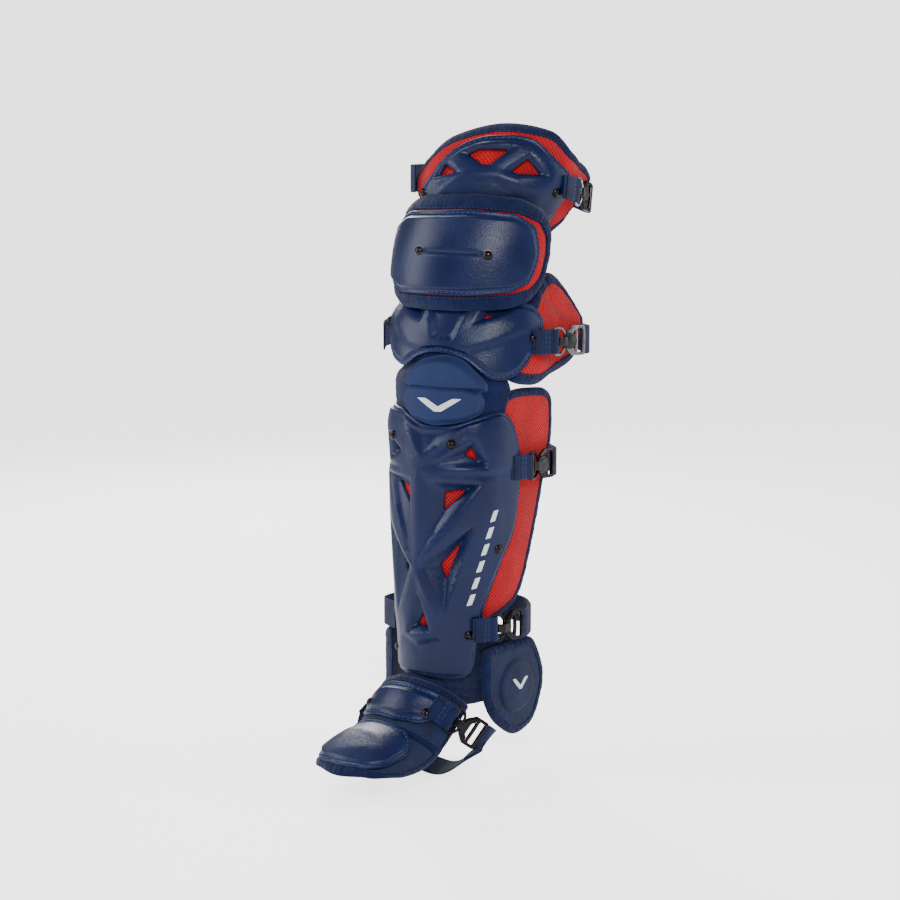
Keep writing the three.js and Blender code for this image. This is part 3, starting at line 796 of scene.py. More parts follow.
SHELL = shell_plastic()
RED_MESH = mesh_fabric("red_mesh", (232, 0, 16), (198, 0, 10), (92, 26, 40), 2.6)
NAVY_MESH = mesh_fabric("navy_mesh", (20, 34, 74), (14, 25, 58), (7, 11, 26), 2.4)
HATCH = hatched_fabric("navy_hatch", (24, 40, 84), (17, 29, 66), 2.2)
BINDING = twill("binding_twill", (17, 34, 84), (12, 25, 66))
ELASTIC = elastic("strap_elastic", (15, 32, 84), (11, 24, 66))
EVA = eva_foam()
CHROME = metal("chrome", (205, 208, 214), 0.16, (120, 118, 116))
GUNMETAL = metal("gunmetal", (128, 128, 133), 0.34, (70, 68, 68))
BLACK_CHROME = metal("black_chrome", (52, 48, 50), 0.2, (24, 22, 24))
BLACK = black_plastic()
STITCH = thread("blue_thread", (8, 78, 165), (0, 44, 112))
DARK_STITCH = thread("navy_thread", (22, 44, 100), (12, 26, 66))
INK = print_ink()


# ---- Moulded shells ----

SEAM_DROP = 0.55          # stitches lie this far below the flange


def border(corners, height):
    """A closed line at one height, for the outside of a relief."""
    return [(*corner, height) for corner in [*corners, corners[0]]]


def shell_piece(name, surface, outline, holes, relief, flange, body, seam=None, skip=None):
    """Moulded shell with a relief, inside a flange of the given width, and holes through it.
    seam is the depth of the row of stitches in its flange, if it has one."""
    holes = [rounded(surface.flat(hole), 1.6, 1.2) for hole in holes]
    rims = [0.4, 1.0, 1.8, *np.arange(2.8, flange + 4, 0.9)]
    flat, faces = fill(outline, holes, 2.4, relief.creases, rims)
    edge = distance(flat, outline)
    moulded = relief(flat)
    groove = 0.45 * np.exp(-((edge - flange * 0.56) / 0.7) ** 2)
    on_flange = 1 - smooth(flange - 0.4, flange + 2.2, edge)
    height = moulded + (FLANGE - groove - moulded) * on_flange - 1.1 * quarter_round(edge, 1.1)
    for hole in holes:
        height -= 0.7 * quarter_round(distance(flat, hole), 0.8)
    inner = np.minimum(height, moulded) - SHELL_THICKNESS
    obj = solid(f"{name}_moulding", surface, flat, faces, height, inner, SHELL, sharp=50)
    settle(obj, body, "shell", name)
    if seam is not None:
        stitch_row(f"{name}_stitches", surface, outline, seam, FLANGE - SEAM_DROP, body, "shell",
                   STITCH, skip=skip)


def stitch_row(name, surface, outline, depth, offset, body, slot, material,
               pitch=4.7, length=3.5, radius=0.5, skip=None):
    """Row of stitches, each a rounded thread that dips in at both ends, depth inside an edge."""
    line = resampled(outline + inward(outline) * depth, 0.4)
    along = distance_along(line, closed=True)
    count = max(3, round(along[-1] / pitch))
    closed_line = np.vstack([line, line[:1]])
    sides, stations = 6, 6
    turn = circle(sides)
    steps = np.linspace(0, length, stations)
    shares = (steps + np.arange(count)[:, None] * along[-1] / count) % along[-1]
    centres = np.stack([np.interp(shares, along, closed_line[:, i]) for i in (0, 1)], -1)
    bases = np.full((count, stations), offset) if not callable(offset) else \
        offset(centres.reshape(-1, 2)).reshape(count, stations)
    swell = np.sqrt(np.clip(np.sin(np.linspace(0.12, math.pi - 0.12, stations)), 0, 1))
    thick = radius * swell
    parts = []
    for centre, base in zip(centres, bases):
        if skip is not None and skip(centre[stations // 2]):
            continue
        tangent = directions(centre)
        sideways = np.stack([-tangent[:, 1], tangent[:, 0]], 1)
        ring_flat = centre[:, None] + sideways[:, None] * thick[:, None, None] \
            * np.cos(turn)[None, :, None]
        ring_offset = (base + 0.25 * swell)[:, None] + thick[:, None] * np.sin(turn)[None]
        parts.append((surface.at(ring_flat, ring_offset).reshape(-1, 3), skin((stations, sides))))
    uv = np.tile(grid(steps, turn * radius), (len(parts), 1))
    settle(joined(name, parts, material, uv), body, slot)


RIVET_DOME = [(0, 2.7), (1.3, 2.6), (2.5, 2.2), (3.5, 1.5), (4.1, 0.8), (4.35, 0.35),
              (5.0, 0.3), (5.15, 0.0), (5.1, -0.6), (0, -0.6)]


def lathe(profile, steps=28):
    """Points and faces of a closed solid of revolution about Z, in millimetres."""
    rings = np.array([[(r * math.cos(a), r * math.sin(a), h) for a in circle(steps)]
                      for r, h in profile if r > 0])
    count = len(rings)
    points = np.vstack([rings.reshape(-1, 3), [(0, 0, profile[0][1]), (0, 0, profile[-1][1])]])
    top, bottom = count * steps, count * steps + 1
    faces = []
    for k in range(steps):
        beside = (k + 1) % steps
        faces.append((top, k, beside))
        faces.append((bottom, (count - 1) * steps + beside, (count - 1) * steps + k))
        for i in range(count - 1):
            faces.append((i * steps + k, (i + 1) * steps + k,
                          (i + 1) * steps + beside, i * steps + beside))
    return points, faces


def moved(points, matrix):
    """Local millimetres to the frame through a matrix whose place is in metres."""
    matrix = np.array(matrix)
    return np.asarray(points, float) * MM @ matrix[:3, :3].T + matrix[:3, 3]


def dome_rivet(node, surface, angle, z, relief, body):
    """Domed rivet head seated on a shell's relief."""
    seat = float(relief(surface.flat([(angle, z)]))[0])
    points, faces = lathe(RIVET_DOME)
    obj = mesh_object(f"{node}_dome", moved(points, surface.axes(angle, z, seat)), faces,
                      BLACK_CHROME, points[:, :2], sharp=40)
    outward_faces(obj)
    settle(obj, body, "gunmetal", node)


def rivet_pair(name, surface, inner, outer, relief, body):
    """Rivets at the inner and outer end of a shell, at (angle, z)."""
    for end, (angle, z) in [("inner", inner), ("outer", outer)]:
        dome_rivet(f"{name}_rivet_{end}", surface, angle, z, relief, body)


# ---- Pads ----

COVERS = {"red_mesh": RED_MESH, "navy_mesh": HATCH}
PAD_RIMS = [1.6, 4.2, 7.6]
BINDING_LAP = 1.7         # the pad's own edge lies this far inside its binding
CLOTH_FRAMES = 16

# Half of a folded binding tape, as shares of its width inwards and of its height.
TAPE = [(1.0, 0.1), (0.93, 0.75), (0.62, 1.0), (0.25, 0.95), (-0.02, 0.55), (-0.13, 0.0)]


def pad_profile(edge, thickness):
    """Half thickness of a pad by distance in from its bound edge."""
    return thickness * (0.42 + 0.58 * smooth(0, 11, edge))


class Pad:
    """Foam pad in mesh fabric with a lining behind, bound round its edge. shells are the
    outlines that lie on it and hold it flat, and held_behind says how firmly its back is held."""

    def __init__(self, surface, outline, body, inner=PAD_INNER, outer=-1.6, shells=(),
                 under=PAD_UNDER_SHELL, quilting=(), held_behind=lambda flat: 0.0):
        self.surface, self.outline, self.body = surface, outline, body
        self.middle = (inner + outer) / 2
        self.half = (outer - inner) / 2
        self.shells, self.under = shells, under
        self.quilting, self.held_behind = quilting, held_behind

    def covered(self, flat):
        """1 well under a shell and 0 clear of it."""
        share = np.zeros(len(flat))
        for loop in self.shells:
            away = distance(flat, loop) * np.where(inside(flat, loop), 1, -1)
            share = np.maximum(share, smooth(-3, 5, away))
        return share

    def faces_at(self, flat):
        """Outer and inner offsets over flat points, before the cloth fills out."""
        edge = distance(flat, self.outline)
        half = pad_profile(edge, self.half)
        outer = self.middle + half + 1.2 * smooth(4, 26, edge)
        outer = outer + (np.minimum(outer, self.under) - outer) * self.covered(flat)
        inner = self.middle - half
        for line in self.quilting:
            inner = inner + 2.0 * near_line(flat, line, 2.4)
        return outer, inner

    def sew(self, node, slot, width, proud=1.3, cap=3.5, suffix="mesh"):
        """Builds the pad for a node, and binds its edge with tape of a width."""
        self.build(f"{node}_{suffix}", slot, node, cap)
        self.bind(f"{node}_binding", width, proud)

    def build(self, name, slot, node, cap):
        flat, faces = fill(self.outline + inward(self.outline) * BINDING_LAP, [], 4.6,
                           self.quilting, PAD_RIMS)
        outer, inner = self.faces_at(flat)
        covered = self.covered(flat)
        edge = distance(flat, self.outline)
        x, y = flat.T
        pucker = 0.35 * np.exp(-((edge - 11) / 6) ** 2) * (
            np.sin(x * 0.55 + 2 * np.sin(y * 0.13)) * np.sin(y * 0.47 + 1.7 * np.sin(x * 0.11)))
        obj = solid(name, self.surface, flat, faces, outer + pucker * (1 - covered), inner,
                    [COVERS[slot], NAVY_MESH])
        seam = 1 - smooth(8, 20, edge)
        behind = np.maximum(seam, self.held_behind(flat))
        for line in self.quilting:
            behind = np.maximum(behind, 1 - smooth(1.5, 4.5, distance(flat, line, closed=False)))
        fill_out(obj, np.r_[np.maximum(covered, seam), behind], cap)
        refined(obj)
        settle(obj, self.body, slot, node)

    def bind(self, name, width, proud):
        """Folded binding tape round the edge, width millimetres in on each face."""
        loop, direction = self.outline, inward(self.outline)
        around = distance_along(loop, True)[:-1]
        height = proud + 0.22 * np.sin(around * 0.33) + 0.16 * np.sin(around * 0.83 + 1)
        front, back = [], []
        for depth, lift in TAPE:
            outer, inner = self.faces_at(loop + direction * max(depth * width, 0.2))
            flat = loop + direction * depth * width
            top = outer if depth > 0 else self.middle
            front.append(self.surface.at(flat, top + height * lift))
            back.append(self.surface.at(flat, inner - height * lift))
        rings = np.stack([*front, *back[-2::-1]], 1)
        uv = grid(around, np.linspace(0, 2.3 * width, rings.shape[1]))
        obj = swept(name, rings, BINDING, loop=True, uv=uv, sharp=65)
        refined(obj)
        settle(obj, self.body, "webbing")
        stitch_row(f"{name}_stitches", self.surface, loop, width * 0.86,
                   lambda flat: self.faces_at(flat)[0] + proud * 0.75, self.body, "webbing",
                   DARK_STITCH, pitch=4.2, length=2.9, radius=0.32)


class Bench:
    """A scene of its own for one object, so that working on it leaves the rest alone."""

    def __init__(self, obj):
        self.scene = bpy.data.scenes.new("bench")
        self.scene.collection.objects.link(obj)
        self.obj = obj

    def points(self):
        graph = self.scene.view_layers[0].depsgraph
        shown = self.obj.evaluated_get(graph).data
        points = np.empty(len(shown.vertices) * 3, np.float32)
        shown.vertices.foreach_get("co", points)
        return points.reshape(-1, 3).astype(float)

    def mesh(self):
        self.scene.view_layers[0].update()
        graph = self.scene.view_layers[0].depsgraph
        return bpy.data.meshes.new_from_object(self.obj.evaluated_get(graph), depsgraph=graph)

    def clear(self):
        bpy.data.scenes.remove(self.scene)


def fill_out(obj, held, cap):
    """Swells a padded piece with a cloth simulation, no vertex by more than cap millimetres.
    held is 1 where a shell, a seam or an edge keeps the cloth in place."""
    group = obj.vertex_groups.new(name="held")
    for level in np.linspace(0.1, 1, 10):
        chosen = np.flatnonzero(np.abs(held - level) <= 0.05)
        group.add(chosen.tolist(), float(level), "REPLACE")
    before = np.array([v.co for v in obj.data.vertices])
    cloth = obj.modifiers.new("cloth", "CLOTH")
    cloth.settings.vertex_group_mass = "held"
    cloth.settings.quality = 4
    cloth.settings.use_pressure = True
    cloth.settings.uniform_pressure_force = 4.0
    cloth.settings.effector_weights.gravity = 0
    cloth.settings.tension_stiffness = 12
    cloth.settings.compression_stiffness = 12
    cloth.settings.bending_stiffness = 0.4
    cloth.point_cache.frame_start = 1
    cloth.point_cache.frame_end = CLOTH_FRAMES
    bench = Bench(obj)
    for step in range(1, CLOTH_FRAMES + 1):
        bench.scene.frame_set(step)
    after = bench.points()
    bench.clear()
    obj.modifiers.remove(cloth)
    shift = after - before
    length = np.maximum(np.linalg.norm(shift, axis=1), 1e-9)
    shift *= (np.minimum(length, cap * MM) / length * (1 - held))[:, None]
    obj.data.vertices.foreach_set("co", (before + shift).astype(np.float32).ravel())
    obj.data.update()
    obj.vertex_groups.clear()


def refined(obj):
    """One subdivision, applied."""
    modifier = obj.modifiers.new("subdivision", "SUBSURF")
    modifier.levels = modifier.render_levels = 1
    modifier.use_limit_surface = False
    bench = Bench(obj)
    finer = bench.mesh()
    bench.clear()
    obj.modifiers.remove(modifier)
    coarse, obj.data = obj.data, finer
    bpy.data.meshes.remove(coarse)


# ---- Shin ----

def make_shin():
    """Long shell with seven faceted openings, its printed bars and rivets, and the liner."""
    outline = patch_outline(
        shin,
        [[0, -52], [0.15, -54], [0.3, -60], [0.5, -72], [0.7, -84], [1, -88]],
        [[0, 56], [0.15, 58], [0.3, 63], [0.5, 77], [0.7, 93], [1, 98]],
        [[-1, 100], [-0.85, 92], [0, 92], [0.85, 91], [1, 99]],
        [[-1, 306], [-0.85, 342], [-0.6, 356], [-0.3, 355], [0, 342], [0.2, 341], [0.5, 350],
         [0.7, 355], [0.87, 342], [1, 306]], passes=14)
    top = 8.2
    holes = [
        ([(11, 303), (49, 331), (60, 300)], [(40, 313), (46, 321), (53, 307)]),
        ([(9, 288), (56, 287), (8, 222)], [(24, 277), (44, 280), (23, 258)]),
        ([(50, 247), (7, 203), (28, 158)], [(40, 229), (21, 205), (27, 190)]),
        ([(-42, 291), (-5, 290), (-6, 216)], [(-31, 284), (-9, 279), (-10, 260)]),
        ([(-42, 248), (-6, 200), (-24, 152)], [(-26, 226), (-11, 205), (-17, 192)]),
        ([(1, 179), (16, 136), (-9, 134)], [(4.5, 155), (12, 142), (-3, 143)]),
        ([(-42, 331), (-15, 314), (-35, 303)], [(-32, 322), (-21, 317), (-30, 313)]),
    ]
    ridges = [
        border([(-125, 60), (125, 60), (125, 400), (-125, 400)], 3.6),
        [(-66, 90, 3.8), (-60, 150, 4.2), (-66, 210, 4.2), (-80, 265, 4.2), (-86, 320, 4.2)],
        [(66, 90, 3.8), (58, 130, 4.4), (64, 190, 4.6), (78, 240, 4.6), (92, 300, 4.4),
         (88, 345, 4.0)],
        [(54, 352, 6.4), (6, 312, 9.6), (-14, 342, 6.2)],
        [(2, 333, 2.4), (17, 332, 2.2), (32, 340, 3.0)],
        [(34, 333, 5.2), (11, 303, top)],
        [(-26, 346, 4.6), (-15, 320, 7.2), (-5.5, 306, 9.2), (6, 312, 9.6)],
        [(1.5, 300, 9.2), (1.5, 288, 9.6), (1.5, 218, 9.4), (0, 201, 10.8)],
        [(0, 201, 10.8), (30, 237, 10.0), (57, 269, 8.0), (72, 292, 5.0)],
        [(0, 201, 10.8), (-30, 243, 9.6), (-47, 268, 7.6), (-62, 292, 4.4)],
        [(0, 201, 10.8), (18, 158, 9.2), (26, 130, 6.6), (34, 106, 4.0)],
        [(0, 201, 10.8), (-14, 158, 9.0), (-21, 130, 6.4), (-28, 106, 4.0)],
        [(12, 296, 8.8), (60, 293, 6.6)],
        [(-6, 298, 8.6), (-45, 299, 6.2)],
        [(0, 201, 10.8), (1, 180, 7.6)],
        [(-13, 129, 5.4), (2, 127, 6.8), (22, 129, 5.4)],
        [(1, 122, 4.2), (2, 106, 4.0)],
    ]
    relief = Relief(shin, ridges + recesses(holes, top, 0.2))
    shell_piece("shin_shell", shin, outline, [hole for _, hole in holes], relief, 2.6, "shin")
    for i, (angle, z) in enumerate(
            [(-30, 328), (30, 324), (88, 297), (72, 219), (49, 135), (-44, 112)]):
        dome_rivet(f"shin_rivet_{i + 1}", shin, angle, z, relief, "shin")
    for k in range(6):
        low = 258 - 16.5 * k
        lean = 65 - 3.3 * k
        mark(f"shin_bar_{k + 1}", shin,
             [(lean, low), (lean + 4.6, low + 1), (lean + 1.6, low - 10), (lean - 3.0, low - 11)],
             relief, "shin", "shell")

    quilting = [shin.flat([(a, 170), (a * 1.12, 330)]) for a in (-58, 62)]
    quilting += [shin.flat([(a, 236), (a * 1.6, 250)]) for a in (-58, 66)]
    pad = Pad(shin, patch_outline(
        shin,
        [[0, -66], [0.35, -88], [0.8, -122], [1, -124]],
        [[0, 104], [0.1, 114], [0.35, 126], [0.6, 136], [0.85, 146], [1, 142]],
        [[-1, 150], [-0.7, 131], [0.3, 131], [0.7, 146], [1, 158]],
        [[-1, 362], [-0.8, 374], [-0.6, 370], [-0.4, 350], [0.36, 350], [0.5, 370],
         [0.65, 374], [0.9, 372], [1, 364]], passes=12), "shin", shells=[outline],
        quilting=quilting, held_behind=over_foam_block)
    pad.sew("shin_liner", "red_mesh", 7.5)


def over_foam_block(flat):
    """1 where the liner's back lies on the foam block."""
    x, y = flat.T
    return smooth(44, 32, np.abs(x)) * smooth(120, 135, y) * smooth(352, 340, y)


def make_foam_block():
    """Covered foam behind the liner, with the flat back that lies along the shin bone."""
    outline = rounded(shin.flat([(-27, 138), (27, 138), (27, 336), (-27, 336)]), 12, 3)
    channels = [shin.flat([(-27, z), (27, z)]) for z in (187, 237, 287)]
    flat, faces = fill(outline, [], 4.0, channels, [0.8, 2.2, 4.4, 7.0])
    front = shin.at(flat, -9.4)
    edge = distance(flat, outline)
    sunk = 3.4 * quarter_round(edge, 7)
    for line in channels:
        sunk = sunk + 2.6 * near_line(flat, line, 2.6)
    back = front.copy()
    back[:, 1] = -sunk * MM
    back[:, 0] = front[:, 0] * (0.96 + 0.04 * smooth(0, 8, edge))
    obj = slab("shin_foam_block", front, back, flat, faces, [NAVY_MESH, NAVY_MESH])
    refined(obj)
    settle(obj, "shin", "foam", "shin_foam")


def mark(name, surface, corners, height, body, slot, thickness=0.35):
    """Thin raised print on a surface."""
    outline = rounded(surface.flat(corners), 0.5, 1.0)
    flat, faces = fill(outline, [], 1.8, (), [0.3])
    edge = distance(flat, outline)
    lift = height(flat) if callable(height) else np.full(len(flat), float(height))
    crest = thickness * (0.55 + 0.45 * smooth(0, 0.5, edge))
    obj = solid(name, surface, flat, faces, lift + crest, lift - 0.4, INK, sharp=45)
    return settle(obj, body, slot)


def make_cushion(name, surface, corners, radii, base, rise, body, node):
    """Moulded foam cushion: a flat skirt, a rounded shoulder and a domed top."""
    shoulder = 7.5
    outline = rounded(surface.flat(corners), radii, 1.8)
    flat, faces = fill(outline, [], 2.6, (), [0.6, 1.4, 2.4, 3.6, 5.0, 6.6, 8.4, 10.4])
    edge = distance(flat, outline)
    height = base + (rise - base) * smooth(0.8, shoulder, edge) + 1.3 * smooth(shoulder, 24, edge)
    height -= 1.2 * quarter_round(edge, 1.2)
    obj = solid(name, surface, flat, faces, height, base - 4.5, EVA)
    refined(obj)
    settle(obj, body, "foam", node)


def make_flex():
    """The two cushions between shin and knee, and the fabric behind them."""
    make_cushion("lower_flex_cushion", shin,
                 [(-20, 364), (-17, 379), (-6, 384), (14, 383), (38, 382), (50, 377), (56, 364),
                  (53, 352), (38, 345), (14, 341), (-10, 347)],
                 [10, 7, 12, 30, 12, 9, 9, 14, 40, 40, 24], 2.6, 10.4, "shin",
                 "flex_lower_cushion")
    make_cushion("upper_flex_cushion", knee,
                 [(-28, 380), (-25, 394), (-14, 405), (3, 411), (17, 406), (28, 393), (38, 381),
                  (38, 374), (10, 372), (-20, 374)],
                 [8, 14, 24, 30, 30, 30, 10, 6, 40, 8], 4.0, 12.4, "knee",
                 "flex_upper_cushion")
    mark("cushion_chevron", shin,
         [(2, 369), (9, 369), (19, 361.5), (29, 369), (36, 369), (21.5, 356.5), (16.5, 356.5)],
         11.6, "shin", "foam", thickness=0.5)
    outline = rounded(shin.flat([(-56, 340), (74, 338), (80, 374), (66, 406), (-54, 408)]), 5, 3)
    flat, faces = fill(outline, [], 3.6, (), [1.4, 3.2])
    lean = 2.6 * smooth(350, 380, flat[:, 1]) - 11 * smooth(382, 402, flat[:, 1])
    puckers = 0.35 * np.sin(flat[:, 1] * 0.8 + 0.8 * np.sin(flat[:, 0] * 0.12))
    obj = solid("flex_fabric", shin, flat, faces, -0.4 + lean + puckers, -3.4 + lean + puckers,
                [BINDING, BINDING])
    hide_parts("flex_panel")
    low, high = shin.at(shin.flat([(5, 348), (5, 380)]), 0)
    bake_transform(obj)


# ---- Knee ----

KNEE_SHELL = [(-80, 454), (-68, 428), (-48, 403), (-31, 395), (-20, 406), (-8, 412), (8, 410),
              (19, 404), (30, 393), (39, 386), (49, 385), (60, 390), (67, 402), (76, 420),
              (81, 440), (76, 455), (60, 460), (0, 462), (-64, 461)]


def make_knee():
    """Lobed shell below the kneecap, with a wide pad that wraps the outer side."""
    outline = rounded(knee.flat(KNEE_SHELL), [8, 40, 30, 12, 14, 30, 30, 14, 14, 18, 18, 22, 30,
                                              30, 24, 10, 30, 60, 10], 1.6)
    holes = [
        ([(19, 439), (26, 458), (64, 458)], [(27, 443), (31, 453), (54, 454)]),
        ([(-50, 457), (-19, 458), (-21, 438)], [(-40, 454), (-25, 454), (-23, 446)]),
    ]
    lines = [
        border([(-110, 360), (110, 360), (110, 480), (-110, 480)], 3.4),
        [(-84, 462, 3.6), (-72, 430, 3.8), (-52, 408, 3.6)],
        [(86, 462, 3.8), (78, 425, 4.0), (66, 398, 3.8)],
        [(-58, 452, 4.6), (-40, 433, 6.6), (-20, 419, 7.2), (6, 415, 7.4), (26, 422, 7.2),
         (49, 432, 6.6), (72, 442, 4.6)],
        [(-58, 440, 4.0), (-36, 418, 4.4), (-18, 412.5, 4.4)],
        [(24, 412, 4.4), (48, 423, 4.4), (70, 434, 4.2)],
        [(-17, 459, 5.0), (-7, 424, 6.6), (7, 423, 6.8), (17, 459, 5.0)],
        [(-14.5, 459, 2.8), (-5.5, 427, 3.0), (5.5, 426.5, 3.0), (14.5, 459, 2.8),
         (-14.5, 459, 2.8)],
        [(17, 459, 5.0), (10, 430, 7.0), (19, 439, 5.2)],
    ]
    relief = Relief(knee, lines + recesses(holes, 5.2, 1.0))
    shell_piece("knee_shell", knee, outline, [hole for _, hole in holes], relief, 5.0, "knee",
                seam=2.8, skip=lambda point: point[1] > 457)
    pad = Pad(knee, patch_outline(
        knee,
        [[0, -64], [0.2, -86], [0.6, -114], [1, -104]],
        [[0, 104], [0.15, 136], [0.4, 152], [0.75, 152], [1, 136]],
        [[-1, 404], [-0.7, 400], [-0.1, 404], [0.25, 394], [0.55, 381], [0.8, 379], [1, 386]],
        [[-1, 468], [-0.88, 478], [-0.68, 456], [0.46, 456], [0.62, 474], [0.88, 485], [1, 478]],
        passes=14), "knee", shells=[outline],
        quilting=[knee.flat([(0, 392), (0, 452)]), knee.flat([(-84, 396), (-88, 462)]),
                  knee.flat([(92, 396), (98, 464)])])
    pad.sew("knee_pad", "red_mesh", 10)
    rivet_pair("knee", knee, (-68, 437), (69, 425), relief, "knee")


# ---- Kneecap ----

def make_kneecap():
    """Plain bowed shell with one groove, on a pad with a wide binding."""
    corners = [(-73, 507), (-67, 536), (-46, 546.5), (9, 549), (42, 544.5), (61, 532), (69, 506),
               (64, 479), (48, 469.5), (15, 466.5), (-42, 467.5), (-67, 477)]
    outline = rounded(kneecap.flat(corners),
                      [30, 16, 24, 60, 22, 18, 30, 18, 20, 60, 24, 18], 1.6)
    groove = [(-17, 508.5), (22, 506.5)]
    lines = [
        border([(-100, 440), (100, 440), (100, 575), (-100, 575)], 3.6),
        border([(-56, 490), (-56, 526), (-30, 536), (30, 535), (54, 525), (54, 490), (30, 481),
                (-30, 481)], 6.2),
        border([(-32, 503), (-32, 515), (34, 514), (34, 502)], 7.2),
    ]
    relief = Relief(kneecap, lines, soften=4.0)

    def grooved(flat):
        away = distance(flat, kneecap.flat(groove), closed=False)
        return relief(flat) - 1.7 * np.exp(-(away / 1.9) ** 4) + 0.5 * np.exp(-(away - 3.2) ** 2)

    grooved.creases = [kneecap.flat(groove) + (0, dv) for dv in (-2.0, 0.0, 2.0)]
    shell_piece("kneecap_shell", kneecap, outline, [], grooved, 5.0, "kneecap", seam=2.8)
    pad_corners = [(-86, 506), (-81, 536), (-66, 553), (-40, 561), (9, 562.5), (46, 558),
                   (72, 546), (85, 528), (89, 504), (86, 478), (72, 461), (50, 454.5), (10, 452.5),
                   (-48, 454), (-70, 461), (-82, 478)]
    pad = Pad(kneecap, rounded(kneecap.flat(pad_corners), 30, 2.2), "kneecap", inner=-6.4,
              outer=-1.4, shells=[outline], under=-2.6)
    pad.sew("kneecap_pad", "red_mesh", 13.2, proud=2.6, cap=2.0)
    rivet_pair("kneecap", kneecap, (-22, 509), (27, 506), grooved, "kneecap")


# ---- Thigh ----

def make_thigh():
    """Crown-shaped shell with three openings, on a pad that reaches round the outer side."""
    corners = [(-66, 556), (-56, 570), (-45, 581), (-37, 598), (-23, 612), (-7, 620.5),
               (17, 621), (32, 616), (47, 603), (74, 583), (84, 571), (91, 553), (88, 540),
               (76, 533), (0, 530), (-56, 536)]
    outline = rounded(thigh.flat(corners),
                      [8, 40, 40, 40, 40, 40, 40, 30, 40, 20, 14, 10, 10, 14, 60, 12], 1.6)
    holes = [
        ([(-21, 604), (-12, 611.5), (20, 610.5), (4, 588.5), (-4, 588.5)],
         [(-16, 602), (-8, 607), (14, 606), (3, 592), (-3, 592)]),
        ([(-46, 576), (-34, 599), (-15, 585)], [(-37, 581), (-33, 592), (-21, 584)]),
        ([(13, 587), (30, 603), (54, 579), (24, 580)], [(20, 586), (30, 597), (45, 582), (25, 583)]),
    ]
    lines = [
        border([(-110, 500), (120, 500), (120, 640), (-110, 640)], 3.6),
        [(-60, 560, 4.2), (-48, 584, 4.4), (-28, 612, 4.2), (0, 617, 4.4), (30, 612, 4.4),
         (60, 594, 4.4), (84, 566, 4.2)],
        [(-44, 556, 4.8), (-12, 582.5, 7.2), (9, 583.5, 7.2), (50, 562, 6.0), (80, 543, 4.2)],
        [(-38, 553, 3.8), (-11, 576, 4.8), (8, 577, 4.8), (50, 557.5, 4.2), (78, 541, 3.6)],
    ]
    relief = Relief(thigh, lines + recesses(holes, 5.6, 1.0))
    shell_piece("thigh_shell", thigh, outline, [hole for _, hole in holes], relief, 5.0, "thigh",
                seam=2.8)
    pad = Pad(thigh, patch_outline(
        thigh,
        [[0, -66], [0.3, -80], [0.65, -85], [1, -66]],
        [[0, 108], [0.2, 138], [0.45, 146], [0.75, 130], [1, 76]],
        [[-1, 524], [-0.6, 514], [0, 518], [0.6, 512], [1, 520]],
        [[-1, 598], [-0.6, 620], [0, 632], [0.6, 624], [1, 604]], passes=36),
        "thigh", shells=[outline],
        quilting=[thigh.flat([(-60, 540), (-50, 600)]), thigh.flat([(0, 530), (0, 618)]),
                  thigh.flat([(64, 536), (56, 602)])])
    pad.sew("thigh_pad", "red_mesh", 8)
    rivet_pair("thigh", thigh, (-52, 564), (66, 564), relief, "thigh")


# ---- Foot ----

def foot_section(name, corners, radii, ridge, half, front, back, drop, passes, lift, tape):
    """Shell and pad of one half of the foot. The pad spans half degrees to each side, its front
    corners fall back by drop millimetres, and it lies lift millimetres higher than usual."""
    outline = rounded(foot.flat(corners), radii, 1.6)
    around = [(-90, front - 14), (90, front - 14), (90, back + 12), (-90, back + 12)]
    relief = Relief(foot, [border(around, 2.8), ridge], soften=2.5)
    shell_piece(f"{name}_shell", foot, outline, [], relief, 4.6, name, seam=2.6)
    pad_outline = patch_outline(
        foot, [[0, -half], [1, -half]], [[0, half], [1, half]],
        [[-1, front + drop], [-0.6, front + drop / 4], [0, front], [0.6, front + drop / 4],
         [1, front + drop]],
        [[-1, back], [1, back]], passes)
    pad = Pad(foot, pad_outline, name, inner=lift - 6.4, outer=lift - 1.8, shells=[outline],
              under=lift - 3.0)
    pad.sew(f"{name}_pad", "navy_mesh", tape, proud=1.6, cap=2.4)
    return relief


def make_foot():
    """Instep section, which carries the foot strap, and the toe section in front of it."""
    relief = foot_section(
        "instep", [(-53, -111), (-54, -95), (-31, -88.5), (10, -87.5), (43, -88), (52, -94),
                   (50, -103), (36, -112), (8, -116.5), (-30, -114)],
        [6, 8, 14, 40, 8, 5, 8, 20, 12, 40],
        [(-54, -103, 3.2), (-20, -101, 6.6), (14, -100, 8.4), (54, -97, 3.6)],
        half=80, front=-124, back=-82, drop=2, passes=8, lift=1.8, tape=5.0)
    rivet_pair("foot", foot, (-38, -104), (38, -104), relief, "instep")
    foot_section(
        "toe", [(-60, -162), (-60, -140), (-52, -121), (-10, -120.5), (29, -122), (41, -128),
                (53, -144), (50, -170), (34, -183), (0, -188), (-38, -184)],
        [14, 30, 8, 40, 16, 14, 12, 18, 30, 60, 30],
        [(-56, -130, 4.0), (-24, -142, 8.4), (8, -146, 9.4), (30, -158, 7.8), (52, -172, 3.6)],
        half=84, front=-194, back=-114, drop=34, passes=40, lift=0.0, tape=8.5)


# ---- Ankle ----

